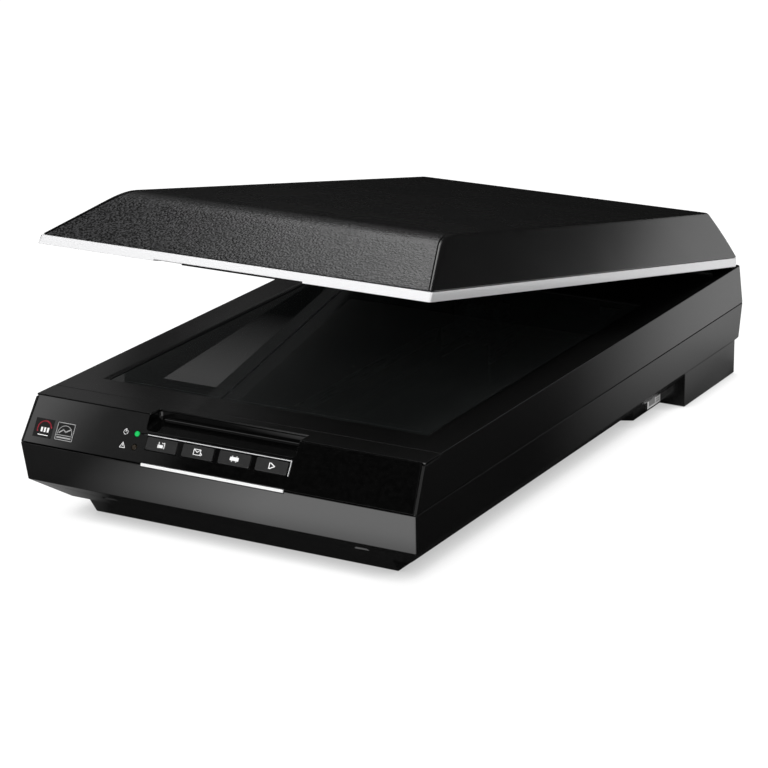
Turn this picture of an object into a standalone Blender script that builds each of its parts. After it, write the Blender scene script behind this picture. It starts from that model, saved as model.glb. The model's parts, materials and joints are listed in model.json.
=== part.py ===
"""Flatbed photo scanner with its lid held open, built as separate pieces.

Lengths are in millimetres here and become metres in solid(). X runs right along the front, Y to the back
and Z up, from the floor under the middle of the base. The lid's pieces are given as they lie with the lid
shut; the lid's empty then turns them open about the hinge axis.
"""

import math

import bmesh
import bpy
from mathutils import Matrix, Vector

MM = 0.001
GAP = 0.3

# Base: two casings that meet at a seam, both widest there.
HALF_W = 140.0
HALF_D = 242.5
SEAM_Z = 52.5
SEAM_GAP = 0.4
TOP_Z = 79.7
TOP_HALF_W = 137.5
TOP_FRONT = -226.2
TOP_REAR = 241.3
FRONT_CORNER_R = 1.2
REAR_CORNER_R = 2.5
WALL = 2.4
SILL_Z = 27.2
SILL_HALF_W = 138.4
SILL_FRONT = -238.8
SILL_REAR = 240.9
PAN_Z = 11.0
PAN_HALF_W = 122.0
PAN_FRONT = -216.0
PAN_REAR = 232.0

# Block under the base that carries the feet, and the two wide rear foot blocks.
BLOCK_Z = 1.0
BLOCK_HALF_W = 109.0
BLOCK_REAR_HALF_W = 117.0
BLOCK_FRONT = -207.6
BLOCK_LEAN = 7.6
REAR_FOOT_X = 135.6
REAR_FOOT_Y = (151.5, 238.5)
FLOOR_Z = 3.4

# Sloping front: distances down the slope and inwards from it, see facet().
SLOPE_BACK = (HALF_D + TOP_FRONT) / (TOP_Z - SEAM_Z)
SLOPE_LENGTH = math.hypot(HALF_D + TOP_FRONT, TOP_Z - SEAM_Z)
DOWN = Vector((0, -(HALF_D + TOP_FRONT), SEAM_Z - TOP_Z)) / SLOPE_LENGTH
INWARD = Vector((0, -DOWN.z, DOWN.y))
PANEL_T = 1.8
FRONT_WALL = 4.6

# Finger recess in the front's top edge, four buttons and two lights under it.
RECESS_HALF_W = 53.0
RECESS_DOWN = 10.7
RECESS_BACK = -215.0
BUTTON_PITCH = 26.0
BUTTON_W = 22.0
BUTTON_H = 8.0
BUTTON_DOWN = 18.1
BUTTON_PROUD = 0.7
BUTTON_TRAVEL = 1.2
BUTTON_NAMES = ("scan_to_file_button", "email_button", "copy_button", "start_button")
LIGHTS = {"power_light_lens": (-58.4, 13.6), "error_light_lens": (-58.0, 22.0)}
LIGHT_R = 1.75
STRIP_HALF_W = 50.4
TRIM_REAR = -207.2
TRIM_T = 1.3

# Glass bed, sunk a little below the top.
BED_HALF_W = 114.0
BED_Y = (-182.0, 120.0)
GLASS_TOP = 78.6
GLASS_T = 2.8
LEDGE = 3.5

# Scan carriage at its front home, and what it runs on.
CARRIAGE_HALF_W = 112.0
CARRIAGE_Y = (-208.0, -150.0)
CARRIAGE_Z = (24.0, 69.0)
SLIT_Y = -179.0
ROD_X, ROD_Z, ROD_R = -70.0, 17.0, 4.0
ROD_Y = (-204.3, 171.7)
RAIL_X = 98.0
BELT_X = -40.0
BELT_Z = (13.0, 17.0)
BELT_IN_R, BELT_OUT_R = 6.3, 7.5
IDLER_Y, MOTOR_Y = -196.0, 180.0

# Hinge: its axis runs along X, just above the rear edge of the top.
HINGE_Y, HINGE_Z = 233.0, 86.0
OPEN_DEG = 11.69
POST_X = 95.0
POST_HALF_W = 10.1
LUG_R = 4.1
PIN_R = 2.0
EAR_X = (POST_HALF_W + 0.6, POST_HALF_W + 5.0)
NOTCH_HALF_W = EAR_X[1] + 0.4

# Lid, given shut: silver rim, cover with a long front slope, and a flat tray inside.
RIM_Z = (80.6, 86.8)
RIM_HALF_W = 137.0
RIM_FRONT, RIM_REAR = -226.2, 237.2
RIM_DRAFT = 0.9
RIM_BAND = 12.0
COVER_Z = (87.2, 115.3)
COVER_FRONT_CREST = -170.5
COVER_TOP_HALF_W = 113.0
COVER_TOP_REAR = 229.4
COVER_WALL = 2.5
CREST_BEND = 14.0
TRAY_Z = (81.2, 86.4)
MAT_HALF_W = 111.0
MAT_Y = (-179.0, 117.0)
MAT_Z = (79.95, 83.8)
MAT_TRAVEL = 12.0
FILM_HALF_W = 36.0
FILM_Y = (-150.0, 95.0)

LOOKS = {
    "black_textured": ((0.020, 0.020, 0.021), 0.50, 0.0),
    "black_gloss": ((0.006, 0.006, 0.007), 0.10, 0.0),
    "silver_paint": ((0.80, 0.81, 0.82), 0.32, 0.4),
    "white_plastic": ((0.86, 0.86, 0.85), 0.50, 0.0),
    "grey_plastic": ((0.05, 0.05, 0.055), 0.50, 0.0),
    "socket_plastic": ((0.012, 0.012, 0.012), 0.50, 0.0),
    "green_lens": ((0.01, 0.45, 0.14), 0.30, 0.0),
    "amber_lens": ((0.05, 0.03, 0.01), 0.30, 0.0),
    "glass": ((0.03, 0.035, 0.035), 0.03, 0.0),
    "mirror": ((0.90, 0.90, 0.92), 0.03, 1.0),
    "steel": ((0.55, 0.55, 0.57), 0.28, 1.0),
    "rubber": ((0.02, 0.02, 0.02), 0.90, 0.0),
    "circuit_board": ((0.02, 0.16, 0.06), 0.45, 0.0),
    "label": ((0.75, 0.76, 0.78), 0.40, 0.2),
}


def clear_scene():
    for obj in list(bpy.data.objects):
        bpy.data.objects.remove(obj, do_unlink=True)


def look(name):
    """The Principled material of that name, made once."""
    found = bpy.data.materials.get(name)
    if found:
        return found
    colour, roughness, metallic = LOOKS[name]
    made = bpy.data.materials.new(name)
    made.use_nodes = True
    shader = made.node_tree.nodes["Principled BSDF"]
    shader.inputs["Base Color"].default_value = (*colour, 1.0)
    shader.inputs["Roughness"].default_value = roughness
    shader.inputs["Metallic"].default_value = metallic
    made.diffuse_color = (*colour, 1.0)
    return made


def solid(name, rings, material="black_textured"):
    """A closed solid through rings of as many points each, from the first ring's cap to the last one's."""
    count = len(rings[0])
    points = [Vector(p) * MM for ring in rings for p in ring]
    faces = [tuple(range(count)), tuple(range(len(points) - count, len(points)))]
    for start in range(0, len(points) - count, count):
        for i in range(count):
            j = (i + 1) % count
            faces.append((start + i, start + j, start + count + j, start + count + i))
    mesh = bpy.data.meshes.new(name)
    mesh.from_pydata(points, [], faces)
    work = bmesh.new()
    work.from_mesh(mesh)
    bmesh.ops.recalc_face_normals(work, faces=work.faces)
    work.to_mesh(mesh)
    work.free()
    obj = bpy.data.objects.new(name, mesh)
    bpy.context.scene.collection.objects.link(obj)
    mesh.materials.append(look(material))
    return obj


def combine(base, operation, *others):
    """Joins the others to base, or cuts them from it, and removes them."""
    for other in others:
        modifier = base.modifiers.new(operation.lower(), "BOOLEAN")
        modifier.operation = operation
        modifier.object = other
        graph = bpy.context.evaluated_depsgraph_get()
        mesh = bpy.data.meshes.new_from_object(base.evaluated_get(graph))
        base.modifiers.clear()
        base.data = mesh
        bpy.data.objects.remove(other, do_unlink=True)
    return base


def join(base, *others):
    return combine(base, "UNION", *others)


def cut(base, *others):
    return combine(base, "DIFFERENCE", *others)


def box(x, y, z, name="block", material="black_textured"):
    """A box from three (low, high) pairs."""
    ring = [(x[0], y[0]), (x[1], y[0]), (x[1], y[1]), (x[0], y[1])]
    return solid(name, [[(*p, height) for p in ring] for height in z], material)


def prism_x(profile, x, name="block", material="black_textured"):
    """A (y, z) outline drawn out along X."""
    return solid(name, [[(at, y, z) for y, z in profile] for at in x], material)


def rounded(half_w, front, rear, z, steps=3):
    """A level rectangle with round corners, tighter at the front, anticlockwise from above."""
    ring = []
    corners = ((half_w, rear, 0), (-half_w, rear, 90), (-half_w, front, 180), (half_w, front, 270))
    for x, y, start in corners:
        radius = REAR_CORNER_R if y == rear else FRONT_CORNER_R
        centre_x = x - math.copysign(radius, x)
        centre_y = y - (radius if y == rear else -radius)
        for step in range(steps + 1):
            angle = math.radians(start + 90 * step / steps)
            ring.append((centre_x + radius * math.cos(angle), centre_y + radius * math.sin(angle), z))
    return ring


def circle(centre, radius, axis, steps=24):
    """A ring of points round an axis, X, Y or Z."""
    ring = []
    for step in range(steps):
        angle = 2 * math.pi * step / steps
        u, v = radius * math.cos(angle), radius * math.sin(angle)
        offset = {"X": (0, u, v), "Y": (u, 0, v), "Z": (u, v, 0)}[axis]
        ring.append(Vector(centre) + Vector(offset))
    return ring


def rod(centre, radius, axis, reach, name="rod", material="steel", steps=24):
    """A round bar along X, Y or Z through centre, from reach[0] to reach[1] along that axis."""
    along = {"X": Vector((1, 0, 0)), "Y": Vector((0, 1, 0)), "Z": Vector((0, 0, 1))}[axis]
    base = Vector(centre)
    base -= along * base.dot(along)
    made = solid(name, [circle(base + along * at, radius, axis, steps) for at in reach], material)
    smooth(made)
    return made


def smooth(obj, degrees=40):
    obj.data.shade_smooth()
    obj.data.set_sharp_from_angle(angle=math.radians(degrees))


def facet(x, down, inward):
    """A point given across, down and inwards from the sloping front's top edge."""
    edge = Vector((x, TOP_FRONT, TOP_Z))
    return edge + DOWN * down + INWARD * inward


def facet_block(x, down, inward, name="block", material="black_textured"):
    """A block lying along the sloping front."""
    ring = [(x[0], down[0]), (x[1], down[0]), (x[1], down[1]), (x[0], down[1])]
    return solid(name, [[facet(*p, depth) for p in ring] for depth in inward], material)


def facet_peg(x, down, radius, inward, name="peg", material="black_textured"):
    """A round peg square to the sloping front."""
    rings = []
    for depth in inward:
        centre = facet(x, down, depth)
        ring = []
        for step in range(20):
            angle = 2 * math.pi * step / 20
            across = Vector((1, 0, 0)) * radius * math.cos(angle)
            ring.append(centre + across + DOWN * radius * math.sin(angle))
        rings.append(ring)
    made = solid(name, rings, material)
    smooth(made)
    return made


def both_sides(x):
    """The (low, high) pair and its mirror image."""
    return x, (-x[1], -x[0])


def empty_at(name, place):
    """An empty on a joint's axis, for the pieces that move with it."""
    pivot = bpy.data.objects.new(name, None)
    pivot.location = Vector(place) * MM
    bpy.context.scene.collection.objects.link(pivot)
    return pivot


def hang_on(pivot, *pieces):
    """Parents the pieces to an empty that isn't turned yet, so that their origins lie on it."""
    for piece in pieces:
        piece.data.transform(Matrix.Translation(-pivot.location))
        piece.parent = pivot


# ---------------------------------------------------------------- base casings


def foot_block_outline(z, lean, inset=0.0):
    """The block under the base, wider at the back. It's drawn in by inset all round."""
    front = BLOCK_FRONT - lean + inset
    narrow = BLOCK_HALF_W - inset
    wide = BLOCK_REAR_HALF_W - inset
    rear = PAN_REAR - inset
    half = [(narrow, front), (narrow, 104.0 + inset), (wide, 108.0 + inset), (wide, rear)]
    outline = half + [(-x, y) for x, y in reversed(half)]
    return [(x, y, z) for x, y in outline]


def lower_casing():
    outer = [
        rounded(PAN_HALF_W, PAN_FRONT, PAN_REAR, PAN_Z),
        rounded(SILL_HALF_W, SILL_FRONT, SILL_REAR, SILL_Z),
        rounded(HALF_W, -HALF_D, HALF_D, SEAM_Z - SEAM_GAP / 2),
    ]
    inner = [
        rounded(HALF_W - WALL, WALL - HALF_D, HALF_D - WALL, SEAM_Z - SEAM_GAP / 2),
        rounded(SILL_HALF_W - WALL, SILL_FRONT + WALL, SILL_REAR - WALL, SILL_Z + 1.4),
        rounded(PAN_HALF_W - 1.6, PAN_FRONT + 1.4, PAN_REAR - 2.0, PAN_Z + WALL),
    ]
    casing = solid("lower_casing", outer + inner)
    top = PAN_Z + 1.0
    lean = BLOCK_LEAN * (top - BLOCK_Z) / (PAN_Z - BLOCK_Z)
    block = solid("block", [foot_block_outline(BLOCK_Z, 0), foot_block_outline(top, lean)])
    join(casing, block)
    for x in both_sides((BLOCK_REAR_HALF_W - 3, REAR_FOOT_X)):
        join(casing, box(x, REAR_FOOT_Y, (BLOCK_Z, SILL_Z + 0.6)))
    hollow = [foot_block_outline(FLOOR_Z, 1.0, WALL), foot_block_outline(PAN_Z + 4, 7.0, WALL)]
    cut(casing, solid("hollow", hollow))
    foot_y = (REAR_FOOT_Y[0] + WALL, REAR_FOOT_Y[1] - WALL)
    for x in both_sides((BLOCK_REAR_HALF_W - 6, REAR_FOOT_X - WALL)):
        cut(casing, box(x, foot_y, (FLOOR_Z, SILL_Z + 6)))
    add_casing_supports(casing)
    cut_casing_openings(casing)
    return casing


def add_casing_supports(casing):
    """Saddles for the guide rod, posts under the rail and the main board, and screw bosses."""
    floor = FLOOR_Z - 0.8
    slot = (ROD_X - ROD_R - GAP, ROD_X + ROD_R + GAP)
    for saddle_y in ((-207.2, -201.2), (165.0, 174.0)):
        join(casing, box((ROD_X - 8, ROD_X + 8), saddle_y, (floor, ROD_Z + 4)))
    seat_y = (ROD_Y[0] - GAP, ROD_Y[1] + GAP)
    cut(casing, rod((ROD_X, 0, ROD_Z), ROD_R + GAP, "Y", seat_y))
    cut(casing, box(slot, seat_y, (ROD_Z, ROD_Z + 6)))
    for y in (-182.0, -10.0, 155.0):
        join(casing, box((RAIL_X - 4, RAIL_X + 4), (y - 3, y + 3), (floor, 14.2)))
    for x in (4.0, 100.0):
        for y in (171.0, 217.0):
            join(casing, rod((x, y, 0), 3.0, "Z", (floor, 27.1), steps=12))
    join(casing, box((-26.0, -22.0), (-184.5, -181.5), (floor, 9.6)))
    for x, y in SCREW_PLACES:
        join(casing, rod((x, y, 0), 5.6, "Z", (floor, 10.0), steps=16))
        cut(casing, rod((x, y, 0), 3.6, "Z", (0.0, 6.0), steps=16))
        cut(casing, rod((x, y, 0), 1.8, "Z", (5.0, 12.0), steps=12))


def cut_casing_openings(casing):
    """Socket openings and the lock's slot in the rear wall, pockets in the front, and the strip's seat."""
    for name, (x, half_w, z) in PORTS.items():
        opening_z = (z[0] - GAP, z[1] + GAP)
        cut(casing, box((x - half_w - GAP, x + half_w + GAP), (236.0, 245.0), opening_z))
    cut(casing, box((LOCK_X[0] - 0.4, LOCK_X[1] + LOCK_TRAVEL + 0.4), (236.0, 245.0), (36.4, 41.6)))
    for x in (-84.0, 95.0):
        cut(casing, box((x - 5, x + 5), (-230.0, -226.5), (12.0, 21.2)))
    strip = (-STRIP_HALF_W - 0.4, STRIP_HALF_W + 0.4)
    cut(casing, box(strip, (-245.0, 1.5 - HALF_D), (SEAM_Z - 1.3, SEAM_Z + 1)))


def upper_casing():
    wall_in = FRONT_WALL / INWARD.y
    ceiling = TOP_Z - WALL
    front_at_ceiling = TOP_FRONT - SLOPE_BACK * (TOP_Z - ceiling) + wall_in
    bottom = SEAM_Z + SEAM_GAP / 2
    outer = [
        rounded(HALF_W, SLOPE_BACK * SEAM_GAP / 2 - HALF_D, HALF_D, bottom),
        rounded(TOP_HALF_W, TOP_FRONT, TOP_REAR, TOP_Z),
    ]
    inner = [
        rounded(HALF_W - WALL, wall_in - HALF_D, HALF_D - WALL, bottom),
        rounded(TOP_HALF_W - WALL, front_at_ceiling, TOP_REAR - WALL, ceiling),
    ]
    # Drawn as a cup with its mouth down, from the top plate round the rim and up to the ceiling.
    casing = solid("upper_casing", [outer[1], outer[0], inner[0], inner[1]])
    ledge_x = (-BED_HALF_W - 5, BED_HALF_W + 5)
    join(casing, box(ledge_x, (BED_Y[0] - 5, BED_Y[1] + 5), (73.6, ceiling + 0.6)))
    cut(casing, box((-BED_HALF_W, BED_HALF_W), BED_Y, (GLASS_TOP - GLASS_T - GAP, TOP_Z + 2)))
    window_x = (LEDGE - BED_HALF_W, BED_HALF_W - LEDGE)
    cut(casing, box(window_x, (BED_Y[0] + LEDGE, BED_Y[1] - LEDGE), (60.0, TOP_Z + 2)))
    for side in both_sides((POST_X - 12.6, POST_X + 12.6)):
        join(casing, box(side, (226.2, 238.6), (42.0, ceiling + 0.6)))
    for side in both_sides((POST_X - POST_HALF_W - GAP, POST_X + POST_HALF_W + GAP)):
        cut(casing, box(side, (HINGE_Y - LUG_R - GAP, HINGE_Y + LUG_R + GAP), (30.0, TOP_Z + 2)))
    for x in (-66.0, 58.0):
        join(casing, facet_block((x - 2, x + 2), (17.0, 21.0), (FRONT_WALL - 0.4, 8.3)))
    cut(casing, front_seat(), recess_room(), box((-150, 150), (-230.0, TRIM_REAR + GAP), (78.1, 85)))
    cut(casing, facet_block((-61.5, RECESS_HALF_W + 0.5), (12.2, 24.2), (0.0, FRONT_WALL + 2)))
    for x, down in LIGHTS.values():
        cut(casing, facet_peg(x, down, LIGHT_R + GAP, (0.0, FRONT_WALL + 2)))
    return casing


def front_seat():
    """The shallow seat for the control panel, as wide as the panel with a gap round it."""
    rings = []
    for depth in (-3.0, PANEL_T + GAP):
        ring = []
        for down, half_w in ((-3.0, 135.6), (SLOPE_LENGTH + 3, 138.7)):
            ring.append((half_w, down))
        outline = [(-x, d) for x, d in ring] + ring[::-1]
        rings.append([facet(x, d, depth) for x, d in outline])
    return solid("seat", rings)


def recess_room():
    """The room that the finger recess takes in the upper casing."""
    lip = facet(0, RECESS_DOWN + 1.7, 0.5)
    ahead = facet(0, RECESS_DOWN + 1.7, -3.0)
    back = RECESS_BACK + 2.3
    profile = [(ahead.y, ahead.z), (lip.y, lip.z), (-217.1, 69.4), (back, 73.4), (back, 90), (-250, 90)]
    return prism_x(profile, (-RECESS_HALF_W - 2.2, RECESS_HALF_W + 2.2))


# ------------------------------------------------------------- front of the base


def control_panel():
    """The glossy front plate, one piece with the tub of the finger recess."""
    bottom = SLOPE_LENGTH - 0.7
    mitre = PANEL_T * INWARD.z / DOWN.z
    rows = ((0.35, 135.3, 0.0), (bottom, 138.2, 0.0), (bottom - mitre, 138.1, PANEL_T),
            (2.4, 135.5, PANEL_T))
    plate = solid("control_panel", [[facet(side * w, d, i) for d, w, i in rows] for side in (-1, 1)],
                  "black_gloss")
    lip = facet(0, RECESS_DOWN + 0.9, 0.9)
    shoulder = facet(0, 2.2, 1.0)
    back = RECESS_BACK + 1.8
    tub = [(lip.y, lip.z), (-217.3, 69.9), (back, 73.6), (back, 78.1), (shoulder.y, 78.1)]
    join(plate, prism_x(tub, (-RECESS_HALF_W - 1.8, RECESS_HALF_W + 1.8)))
    floor = facet(0, RECESS_DOWN, 0)
    ahead = facet(0, RECESS_DOWN, -3)
    room = [(ahead.y, ahead.z), (floor.y, floor.z), (-218.0, 71.8), (RECESS_BACK, 74.5)]
    room += [(RECESS_BACK, 90), (-250, 90)]
    cut(plate, prism_x(room, (-RECESS_HALF_W, RECESS_HALF_W)))
    for index in range(len(BUTTON_NAMES)):
        x = button_x(index)
        half_w, half_h = BUTTON_W / 2 + GAP, BUTTON_H / 2 + GAP
        down = (BUTTON_DOWN - half_h, BUTTON_DOWN + half_h)
        cut(plate, facet_block((x - half_w, x + half_w), down, (-1, PANEL_T + 1)))
    for x, down in LIGHTS.values():
        cut(plate, facet_peg(x, down, LIGHT_R + GAP, (-1, PANEL_T + 1)))
    grooves = [facet_block((x[0] - GAP, x[1] + GAP), (down[0] - GAP, down[1] + GAP), (-1, 0.9))
               for x, down in BEZEL_BARS]
    join(*grooves)
    cut(plate, grooves[0])
    strip = (-STRIP_HALF_W - 0.4, STRIP_HALF_W + 0.4)
    cut(plate, facet_block(strip, (SLOPE_LENGTH - 1.4, SLOPE_LENGTH + 1), (-1, 3)))
    return plate


def button_x(index):
    return (index - (len(BUTTON_NAMES) - 1) / 2) * BUTTON_PITCH


def button(index):
    """A cap with a catching flange behind the panel and a stem to its switch."""
    x = button_x(index)
    half_w, half_h = BUTTON_W / 2, BUTTON_H / 2
    down = (BUTTON_DOWN - half_h, BUTTON_DOWN + half_h)
    name = BUTTON_NAMES[index]
    cap = facet_block((x - half_w, x + half_w), down, (-BUTTON_PROUD, 2.6), name, "grey_plastic")
    flange_down = (down[0] - 1, down[1] + 1)
    join(cap, facet_block((x - half_w - 1, x + half_w + 1), flange_down, (2.4, 3.4)))
    join(cap, facet_block((x - 3, x + 3), (BUTTON_DOWN - 1.5, BUTTON_DOWN + 1.5), (3.2, 7.0)))
    pivot = empty_at(f"{name}_slide", facet(x, BUTTON_DOWN, 0))
    hang_on(pivot, cap)


def front_trim():
    under = TOP_Z - TRIM_T
    profile = [(-225.5, TOP_Z), (-225.5, under), (TRIM_REAR, under), (TRIM_REAR, TOP_Z)]
    trim = prism_x(profile, (-TOP_HALF_W, TOP_HALF_W), "front_trim")
    cut(trim, box((-RECESS_HALF_W, RECESS_HALF_W), (-230.0, RECESS_BACK), (70, 85)))


def button_bezel():
    bars = [facet_block(x, down, (-0.25, 0.6), "button_bezel", "silver_paint") for x, down in BEZEL_BARS]
    join(*bars)


BEZEL_BARS = (
    ((-50.5, 51.5), (12.7, 13.25)),
    ((51.0, 51.5), (12.8, 22.4)),
)


def front_fittings():
    control_panel()
    front_trim()
    button_bezel()
    box((-STRIP_HALF_W, STRIP_HALF_W), (-HALF_D, 1.2 - HALF_D), (SEAM_Z - 1.0, SEAM_Z + 0.7),
        "seam_accent_strip", "white_plastic")
    for name, (x, down) in LIGHTS.items():
        colour = "green_lens" if name.startswith("power") else "amber_lens"
        facet_peg(x, down, LIGHT_R, (-0.2, 3.4), name, colour)
    facet_block((-68.0, 60.0), (12.5, 26.5), (8.6, 10.2), "button_board", "circuit_board")
    for index in range(len(BUTTON_NAMES)):
        button(index)


# --------------------------------------------------------------- inside the base

SCREW_PLACES = ((-96.0, -150.0), (82.0, -150.0), (-96.0, 95.0), (82.0, 95.0))
PORTS = {
    "power_inlet": (68.0, 5.5, (29.4, 41.0)),
    "usb_port": (44.0, 6.0, (29.4, 40.4)),
    "film_adapter_port": (16.0, 13.0, (29.4, 39.4)),
}
LOCK_X = (-58.0, -49.0)
LOCK_TRAVEL = 8.0


def bed_and_feet():
    bed_x = (GAP - BED_HALF_W, BED_HALF_W - GAP)
    bed_y = (BED_Y[0] + GAP, BED_Y[1] - GAP)
    box(bed_x, bed_y, (GLASS_TOP - GLASS_T, GLASS_TOP), "platen_glass", "glass")
    strip_y = (BED_Y[0] + LEDGE + 0.6, BED_Y[0] + LEDGE + 5.6)
    box((-109, 109), strip_y, (75.1, 75.5), "calibration_strip", "white_plastic")
    for side, sign in (("left", -1), ("right", 1)):
        front_x = sorted((sign * 82.0, sign * 104.0))
        box(front_x, (-200.0, -188.0), (0.0, 0.7), f"front_{side}_foot", "rubber")
        rear_x = sorted((sign * 120.0, sign * 132.0))
        box(rear_x, (190.0, 226.0), (0.0, 0.7), f"rear_{side}_foot", "rubber")
    label_x = (BLOCK_REAR_HALF_W + GAP, BLOCK_REAR_HALF_W + GAP + 0.3)
    box(label_x, (129.8, 150.9), (2.0, 10.2), "rating_label", "label")
    for number, (x, y) in enumerate(SCREW_PLACES, 1):
        screw = rod((x, y, 0), 3.2, "Z", (3.4, 5.7), f"casing_screw_{number}", "steel", 16)
        join(screw, rod((x, y, 0), 1.45, "Z", (5.5, 9.6), steps=12))
        cut(screw, box((x - 2.2, x + 2.2), (y - 0.4, y + 0.4), (3.0, 4.3)))
        cut(screw, box((x - 0.4, x + 0.4), (y - 2.2, y + 2.2), (3.0, 4.3)))


def belt_outline(radius, z):
    """A level loop round both pulleys."""
    ring = []
    for y, start in ((MOTOR_Y, 0), (IDLER_Y, 180)):
        for step in range(13):
            angle = math.radians(start + 180 * step / 12)
            ring.append((BELT_X + radius * math.cos(angle), y + radius * math.sin(angle), z))
    return ring


def drive():
    rod((ROD_X, 0, ROD_Z), ROD_R, "Y", ROD_Y, "guide_rod", "steel")
    box((RAIL_X - 6, RAIL_X + 6), (-200.0, 165.0), (14.5, 16.0), "slide_rail", "steel")
    motor = rod((BELT_X, MOTOR_Y, 0), 17.5, "Z", (26.0, 46.0), "stepper_motor", "steel", 32)
    join(motor, box((BELT_X + 12, BELT_X + 22), (MOTOR_Y - 7, MOTOR_Y + 7), (30.0, 42.0)))
    bracket = box((-60.0, -20.0), (160.0, 200.0), (24.0, 25.6), "motor_bracket", "steel")
    for x in ((-60.0, -58.0), (-22.0, -20.0)):
        join(bracket, box(x, (160.0, 200.0), (FLOOR_Z + GAP, 24.8)))
    cut(bracket, rod((BELT_X, MOTOR_Y, 0), 4.0, "Z", (20.0, 30.0)))
    band = [belt_outline(BELT_OUT_R, z) for z in BELT_Z] + [belt_outline(BELT_IN_R, z) for z in BELT_Z[::-1]]
    loop("timing_belt", band, "rubber")
    pulley("motor_pulley", MOTOR_Y, 25.7, 0)
    pulley("idler_pulley", IDLER_Y, 18.4, 2.3)
    stand = box((-49.0, -31.0), (-205.0, -188.0), (FLOOR_Z + GAP, 10.4), "idler_bracket", "steel")
    join(stand, rod((BELT_X, IDLER_Y, 0), PIN_R, "Z", (10.0, 19.6)))
    tension_spring("belt_tension_spring", (-24.0, 7.0), (-204.0, -186.0), 2.0, 0.45, 8)


def loop(name, rings, material):
    """A ring-shaped solid: the rings are its four edges, and the last joins on to the first."""
    count = len(rings[0])
    points = [Vector(p) * MM for ring in rings for p in ring]
    faces = []
    for edge in range(len(rings)):
        after = (edge + 1) % len(rings)
        for i in range(count):
            j = (i + 1) % count
            faces.append((edge * count + i, edge * count + j, after * count + j, after * count + i))
    mesh = bpy.data.meshes.new(name)
    mesh.from_pydata(points, [], faces)
    work = bmesh.new()
    work.from_mesh(mesh)
    bmesh.ops.recalc_face_normals(work, faces=work.faces)
    work.to_mesh(mesh)
    work.free()
    obj = bpy.data.objects.new(name, mesh)
    bpy.context.scene.collection.objects.link(obj)
    mesh.materials.append(look(material))
    return obj


def pulley(name, y, top, bore):
    """A flanged belt pulley, with its shaft above it or a bore through it."""
    made = rod((BELT_X, y, 0), 6.0, "Z", (11.6, 18.4), name, "steel")
    for z in ((11.6, 12.6), (17.4, 18.4)):
        join(made, rod((BELT_X, y, 0), 8.2, "Z", z))
    if bore:
        cut(made, rod((BELT_X, y, 0), bore, "Z", (5.0, 30.0)))
    else:
        join(made, rod((BELT_X, y, 0), 2.5, "Z", (18.0, top)))
    pivot = empty_at(f"{name}_axis", (BELT_X, y, 15.0))
    hang_on(pivot, made)


def tension_spring(name, centre, reach, radius, wire, turns):
    """A closed-wound spring along Y: a wire ring swept along a helix."""
    x, z = centre
    steps = turns * 12
    rings = []
    for step in range(steps + 1):
        angle = 2 * math.pi * step / 12
        out = Vector((math.cos(angle), 0, math.sin(angle)))
        y = reach[0] + (reach[1] - reach[0]) * step / steps
        middle = Vector((x, y, z)) + out * radius
        ring = []
        for corner in range(6):
            turn = 2 * math.pi * corner / 6
            ring.append(middle + out * wire * math.cos(turn) + Vector((0, 1, 0)) * wire * math.sin(turn))
        rings.append(ring)
    smooth(solid(name, rings, "steel"), 60)


def electronics():
    board = box((-2.0, 106.0), (166.0, 222.0), (27.4, 29.0), "main_board", "circuit_board")
    for x, y, half_x, half_y, height in ((30, 184, 12, 12, 2.2), (70, 190, 8, 10, 1.8), (92, 176, 6, 4, 8)):
        join(board, box((x - half_x, x + half_x), (y - half_y, y + half_y), (28.6, 29.0 + height)))
    sockets = {}
    for name, (x, half_w, z) in PORTS.items():
        material = "steel" if name == "usb_port" else "socket_plastic"
        y = (212.0 if name == "power_inlet" else 220.0, 240.6)
        sockets[name] = box((x - half_w, x + half_w), y, z, name, material)
    x, half_w, z = PORTS["power_inlet"]
    cut(sockets["power_inlet"], rod((x, 0, sum(z) / 2), 3.3, "Y", (229.0, 245.0)))
    for name, half_x, half_z in (("usb_port", 4.4, 4.1), ("film_adapter_port", 11.2, 3.2)):
        x, half_w, z = PORTS[name]
        middle = sum(z) / 2
        cut(sockets[name], box((x - half_x, x + half_x), (231.0, 245.0), (middle - half_z, middle + half_z)))


def transport_lock():
    knob = box(LOCK_X, (236.0, 242.3), (36.8, 41.2), "transport_lock", "grey_plastic")
    join(knob, box((LOCK_X[0] - 6, LOCK_X[1] + 6), (233.5, 237.6), (33.0, 45.0)))
    pivot = empty_at("transport_lock_slide", (sum(LOCK_X) / 2, 239.0, 39.0))
    hang_on(pivot, knob)


def tilted_mirror(name, y, z, degrees, height):
    """A long mirror strip along X, leaning back by the angle."""
    lean = Matrix.Rotation(math.radians(degrees), 3, "X")
    rings = []
    for x in (-100.0, 100.0):
        flat = ((-1, -height / 2), (1, -height / 2), (1, height / 2), (-1, height / 2))
        rings.append([Vector((x, y, z)) + lean @ Vector((0, a, b)) for a, b in flat])
    return solid(name, rings, "mirror")


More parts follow.
